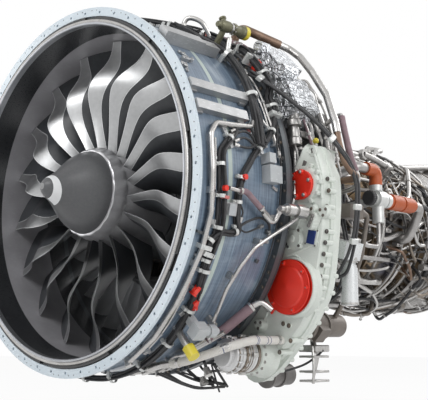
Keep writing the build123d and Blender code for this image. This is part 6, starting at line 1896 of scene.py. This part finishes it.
@dataclass
class CoreDress(Dress):
    """Tubes, manifolds, cables, brackets and flange bolts round the core."""

    seed: int = 3
    runs: int = 230

    def add(self) -> None:
        """Builds every piece of the core's dress."""
        self.pipework()
        self.rings()
        self.bolts_and_brackets()
        self.exit_case_lines()

    def run(self, rng: np.random.Generator, y0: float, y1: float, angle: float, drift: float, level: float,
            thick: float) -> np.ndarray:
        """One tube: up from the case, along at a level with a drift in angle, and down again.

        Args:
            rng: source of its small bends.
            y0: station of its first end.
            y1: station of its last end.
            angle: angle of its first end.
            drift: change of angle over its length.
            level: 0 on the case, 1 at the outside of the pipework.
            thick: the tube's radius.

        Returns:
            The tube's path.
        """
        inset = 0.03 + thick
        count = max(3, int(abs(y1 - y0) / 0.12))
        points = [polar(core_radius(y0) - FOOT_SINK, angle, y0)]
        for k in range(count + 1):
            t = k / count
            y = y0 + (inset if y1 > y0 else -inset) + (y1 - y0 - 2 * math.copysign(inset, y1 - y0)) * t
            base = core_radius(y)
            lift = base + thick * 1.1 + (max(core_reach(y), base + 0.02) - base - 0.012) * level
            bend = drift * (0.5 - 0.5 * math.cos(math.pi * t)) + rng.normal(0, 1.6)
            points.append(polar(lift, angle + bend, y))
        points.append(polar(core_radius(y1) - FOOT_SINK, angle + drift, y1))
        return smooth_path(points, 0.014)

    def pipework(self) -> None:
        """Seeded lengthwise and slanting tubes in four finishes, with end fittings and clamps."""
        rng = np.random.default_rng(self.seed)
        makers = {"tube": Builder(), "dark_steel": Builder(), "bronze": Builder(), "harness": Builder()}
        fittings = Builder()
        for index in range(self.runs):
            kind = str(rng.choice(["tube", "dark_steel", "bronze", "harness"], p=[0.34, 0.36, 0.07, 0.23]))
            y0 = rng.choice([rng.uniform(0.96, 1.55), rng.uniform(1.74, 2.35), rng.uniform(1.05, 2.2)])
            y1 = min(2.93, y0 + rng.uniform(0.22, 0.85))
            angle = rng.uniform(-180, 180)
            drift = rng.normal(0, 30)
            thick = rng.choice([0.004, 0.006, 0.008, 0.011, 0.015], p=[0.4, 0.32, 0.18, 0.07, 0.03])
            level = rng.uniform(0.0, 1.0) ** 0.8
            path = self.run(rng, y0, y1, angle, drift, level, thick)
            makers[kind].tube(path, thick, 10 if thick > 0.007 else 8)
            if index % 2 == 0:
                for at in (0.06, 0.94):
                    collar(fittings, path, at, thick * 0.98, thick * 3.2, thick * 0.35)
            collar(fittings, path, rng.uniform(0.3, 0.7), thick, 0.01, 0.003)
        for index in range(64):
            kind = str(rng.choice(["tube", "dark_steel", "harness"], p=[0.55, 0.25, 0.2]))
            y = rng.uniform(1.0, 2.9)
            start = rng.uniform(-180, 180)
            sweep = rng.choice([-1, 1]) * rng.uniform(30, 110)
            thick = rng.choice([0.004, 0.006, 0.009, 0.013])
            level = rng.uniform(0.1, 1.0)
            points = [polar(core_radius(y) - FOOT_SINK, start, y)]
            steps = int(abs(sweep) / 9) + 1
            for k in range(steps + 1):
                t = k / steps
                yy = y + 0.05 * math.sin(3 * t + index) * level
                base = core_radius(yy)
                high = base + thick + (max(core_reach(yy), base + 0.02) - base - 0.014) * level
                angle = start + math.copysign(3, sweep) + (sweep - math.copysign(6, sweep)) * t
                points.append(polar(high, angle, yy))
            points.append(polar(core_radius(y) - FOOT_SINK, start + sweep, y))
            path = smooth_path(points, 0.014)
            makers[kind].tube(path, thick, 8)
            collar(fittings, path, 0.3, thick, 0.01, 0.003)
            collar(fittings, path, 0.7, thick, 0.01, 0.003)
        slots = {"tube": "tube_steel", "dark_steel": "rotor_alloy", "bronze": "bronze_metal",
                 "harness": "harness_black"}
        for kind, b in makers.items():
            self.finish(b, "core_pipes_" + kind, kind, slots[kind])
        self.finish(fittings, "core_pipe_fittings", "valve", "valve_steel")

    def rings(self) -> None:
        """Cooling air rings close together round the turbine case and manifolds round the combustor."""
        steel = Builder()
        for k in range(15):
            y = 2.215 + 0.031 * k
            steel.torus(y, core_radius(y) + 0.052 - 0.0022 * k, 0.0085)
        for angle in (-30, 62, 152, -118):
            line = [polar(core_radius(y) + 0.066, angle, y) for y in np.linspace(2.19, 2.67, 14)]
            steel.tube(np.array(line), 0.02, 14)
        for y, extra, thick in ((1.33, 0.03, 0.009), (1.78, 0.028, 0.01), (1.96, 0.03, 0.007),
                (2.12, 0.03, 0.008)):
            steel.torus(y, core_radius(y) + extra, thick)
            for k in range(16):
                angle = 22.5 * k + 7
                steel.lathe(polar(core_radius(y) - FOOT_SINK, angle, y), polar(1, angle),
                            [(0.012, 0), (0.009, 0.01), (0.009, extra), (0, extra)], 10)
        self.finish(steel, "core_cooling_rings", "valve", "tube_steel")

    def bolts_and_brackets(self) -> None:
        """Bolt rings on the core's flanges, small boxes and brackets, and the mount link."""
        bolts, pale = builders(2)
        for y, radius, count, face in ((0.912, 0.318, 40, 1), (1.074, 0.304, 40, -1), (1.424, 0.276, 40, 1),
                (1.66, 0.258, 36, 1), (1.99, 0.394, 60, -1), (2.01, 0.394, 60, 1), (2.158, 0.381, 56, -1),
                (2.18, 0.381, 56, 1), (2.69, 0.45, 60, -1), (2.71, 0.45, 60, 1), (2.99, 0.417, 54, -1)):
            for k in range(count):
                bolts.bolt(polar(radius, 360 * k / count, y), (0, face, 0), 0.0052)
        rng = np.random.default_rng(self.seed + 9)
        for k in range(90):
            y = rng.uniform(0.95, 2.2)
            angle = rng.uniform(-180, 180)
            high = rng.uniform(0.02, 0.06)
            size = (rng.uniform(0.015, 0.06), rng.uniform(0.012, 0.04), high)
            studded_box(pale, core_radius(y) - 0.003, angle, y, size, 0.003)
        eye = polar(0.5, 47, 1.72)
        rod = smooth_path([eye, polar(0.5, 44, 1.8), polar(0.49, 40, 1.9)], 0.01)
        pale.tube(rod, 0.018, 14)
        pale.lathe(eye - vec(0.012, 0, 0), (1, 0, 0), [(0.014, 0), (0.03, 0), (0.03, 0.024), (0.014, 0.024),
                (0.014, 0)], 28)
        pale.box(polar(0.45, 40, 1.9), (AFT, polar(1, 40), np.cross(AFT, polar(1, 40))), (0.05, 0.12, 0.05),
                 0.006)
        self.finish(bolts, "core_flange_bolts", "dark_steel", "gear_steel")
        self.finish(pale, "core_brackets", "valve", "valve_steel")

    def exit_case_lines(self) -> None:
        """Dense tubes, cables and small units over the exit case, from the top to behind the gearbox."""
        rng = np.random.default_rng(self.seed + 20)
        steel, black, mauve, pale = builders(4)
        for index in range(46):
            y = rng.uniform(0.56, 0.9)
            start = rng.uniform(24, 120)
            sweep = rng.uniform(14, 60)
            thick = rng.choice([0.004, 0.006, 0.009, 0.012])
            lift = rng.uniform(0.012, 0.085)
            places = []
            steps = int(sweep / 6) + 2
            for k in range(steps + 1):
                t = k / steps
                radius = EXIT_R + 0.0005 + thick * 0.5 + (0.0 if k in (0, steps) else lift)
                places.append(polar(radius, start - sweep * t, y + 0.03 * math.sin(4 * t + index)))
            path = smooth_path(places, 0.014)
            kind = int(rng.integers(0, 5))
            (steel if kind < 3 else black if kind == 3 else mauve).tube(path, thick, 10)
            collar(pale, path, 0.35, thick, 0.012, 0.004)
            collar(pale, path, 0.75, thick, 0.012, 0.004)
        for index in range(34):
            angle = rng.uniform(12, 112)
            y = rng.uniform(0.57, 0.85)
            high = rng.uniform(0.02, 0.07)
            size = (rng.uniform(0.02, 0.06), rng.uniform(0.015, 0.05), high)
            studded_box(pale, EXIT_R - 0.001, angle, y, size, 0.004)
        for index in range(26):
            angle = rng.uniform(-100, 0) if index % 2 else rng.uniform(-178, -90)
            y = rng.uniform(0.82, 0.856)
            path = smooth_path(polars((0.745, angle, y), (0.78, angle - 4, y + 0.01), (0.78, angle - 14, y),
                    (0.745, angle - 18, y)), 0.012)
            (steel if index % 3 else black).tube(path, 0.006, 8)
        self.finish(steel, "exit_case_tubes", "tube", "tube_steel")
        self.finish(black, "exit_case_cables", "harness", "harness_black")
        self.finish(mauve, "exit_case_hoses", "mauve", "hose_mauve")
        self.finish(pale, "exit_case_fittings", "valve", "valve_steel")


# Studio


@dataclass(frozen=True)
class Lamp:
    """A soft rectangular lamp: place, target, size in metres and power in watts."""

    name: str
    place: Place
    target: Place
    size: Tuple[float, float]
    power: float


def aim(obj: bpy.types.Object, place: Place, direction: Vector) -> None:
    """Puts a lamp or camera in the scene.

    Args:
        obj: the lamp or camera.
        place: where it stands.
        direction: where it looks.
    """
    obj.location = place
    obj.rotation_euler = direction.to_track_quat("-Z", "Y").to_euler()
    bpy.context.scene.collection.objects.link(obj)


@dataclass
class Studio:
    """Camera at the photograph's viewpoint, soft lamps, pale world and floor."""

    lamps: Tuple[Lamp, ...] = (
        Lamp("key_softbox", (1.2, -4.2, 3.4), (0.2, 0.4, 0.0), (3.2, 2.4), 120.0),
        Lamp("side_softbox", (4.6, 0.8, 1.6), (0.2, 0.9, 0.0), (2.6, 3.0), 80.0),
        Lamp("left_softbox", (-4.0, -3.2, 1.0), (0.0, 0.2, 0.0), (2.4, 2.8), 60.0),
        Lamp("low_softbox", (2.6, -2.0, -2.2), (0.3, 0.5, -0.3), (2.4, 1.8), 22.0),
        Lamp("rear_softbox", (1.5, 5.0, 2.6), (0.2, 1.6, 0.0), (3.0, 2.4), 80.0),
    )
    eye: Place = (3.0085, -2.2385, -0.6236)
    gaze: Place = (-0.684, 0.713, 0.155)
    lens: float = 73.95
    floor_z: float = -1.02
    floor_half: float = 14.0
    floor_white: float = 0.93

    def add(self) -> None:
        """Adds camera, lamps, world and floor."""
        self.camera()
        for lamp in self.lamps:
            data = bpy.data.lights.new(lamp.name, "AREA")
            data.shape = "RECTANGLE"
            data.size, data.size_y = lamp.size
            data.energy = lamp.power
            aim(bpy.data.objects.new(lamp.name, data), lamp.place, Vector(lamp.target) - Vector(lamp.place))
        self.world()
        self.floor()
        bpy.context.scene.view_settings.view_transform = "Standard"

    def camera(self) -> None:
        """The photograph's camera: low, ahead of the inlet, on the gearbox side."""
        data = bpy.data.cameras.new("photo_camera")
        data.sensor_width = 36.0
        data.lens = self.lens
        data.clip_end = 100.0
        obj = bpy.data.objects.new("photo_camera", data)
        aim(obj, self.eye, Vector(self.gaze))
        bpy.context.scene.camera = obj

    @staticmethod
    def seen(n: Nodes) -> bpy.types.NodeSocket:
        """One for camera, glossy and transmission rays, in the world and the floor only.

        Args:
            n: nodes of the world or of the floor's material.

        Returns:
            The socket, one or zero.
        """
        path = n.add("ShaderNodeLightPath").outputs
        either = n.math("MAXIMUM", path["Is Camera Ray"], path["Is Glossy Ray"])
        return n.math("MAXIMUM", either, path["Is Transmission Ray"])

    def world(self) -> None:
        """A pale grey world that shows white to the camera and in reflections."""
        world = bpy.context.scene.world = bpy.data.worlds.new("studio_world")
        world.use_nodes = True
        world.node_tree.nodes.clear()
        n = Nodes(world.node_tree)
        place = n.add("ShaderNodeTexCoord").outputs["Generated"]
        height = n.add("ShaderNodeSeparateXYZ", {0: place}).outputs[2]
        sky = n.ramp(n.math("MULTIPLY_ADD", height, 0.5, 0.5), [(0.25, 0.22), (0.62, 0.62)])
        soft = n.add("ShaderNodeBackground", {"Color": sky, "Strength": 0.55})
        white = n.add("ShaderNodeBackground", {"Color": (1.0, 1.0, 1.0), "Strength": 1.0})
        mixed = n.add("ShaderNodeMixShader", {0: self.seen(n), 1: soft.outputs[0], 2: white.outputs[0]})
        n.add("ShaderNodeOutputWorld", {0: mixed.outputs[0]})

    def floor(self) -> None:
        """A wide pale floor under the engine, which keeps its soft shadow."""
        b = Builder()
        line = np.linspace(-self.floor_half, self.floor_half, 15)
        x, y = np.meshgrid(line, line, indexing="ij")
        b.grid(np.stack([x, y, np.full_like(x, self.floor_z)], -1))
        paints = Paints()
        n, shader, place = paints.new("studio_floor")
        n.feed(n.mix(n.noise(place, 30.0, 3.0), (0.9,) * 3, (0.94,) * 3), shader.inputs["Base Color"])
        shader.inputs["Roughness"].default_value = 0.6
        share = n.math("MULTIPLY", self.seen(n), self.floor_white)
        white = n.add("ShaderNodeEmission", {"Color": (1.0, 1.0, 1.0), "Strength": 1.0})
        mixed = n.add("ShaderNodeMixShader", {0: share, 1: shader.outputs[0], 2: white.outputs[0]})
        n.feed(mixed.outputs[0], n.tree.nodes["Material Output"].inputs[0])
        obj = b.build("studio_floor_sheet", paints.made["studio_floor"], Body.FRAME)
        obj.parent = None
        del obj["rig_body"]


def main() -> None:
    """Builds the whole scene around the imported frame."""
    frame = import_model()
    paints = Paints()
    CadDress(paints).apply(frame["nodes"])
    for dress in (FanBlades, HubRing, CaseDress, GearboxCasting, GearboxDress, CoreDress):
        dress(paints).add()
    Studio().add()
    bpy.context.view_layer.update()


if __name__ == "__main__":
    main()
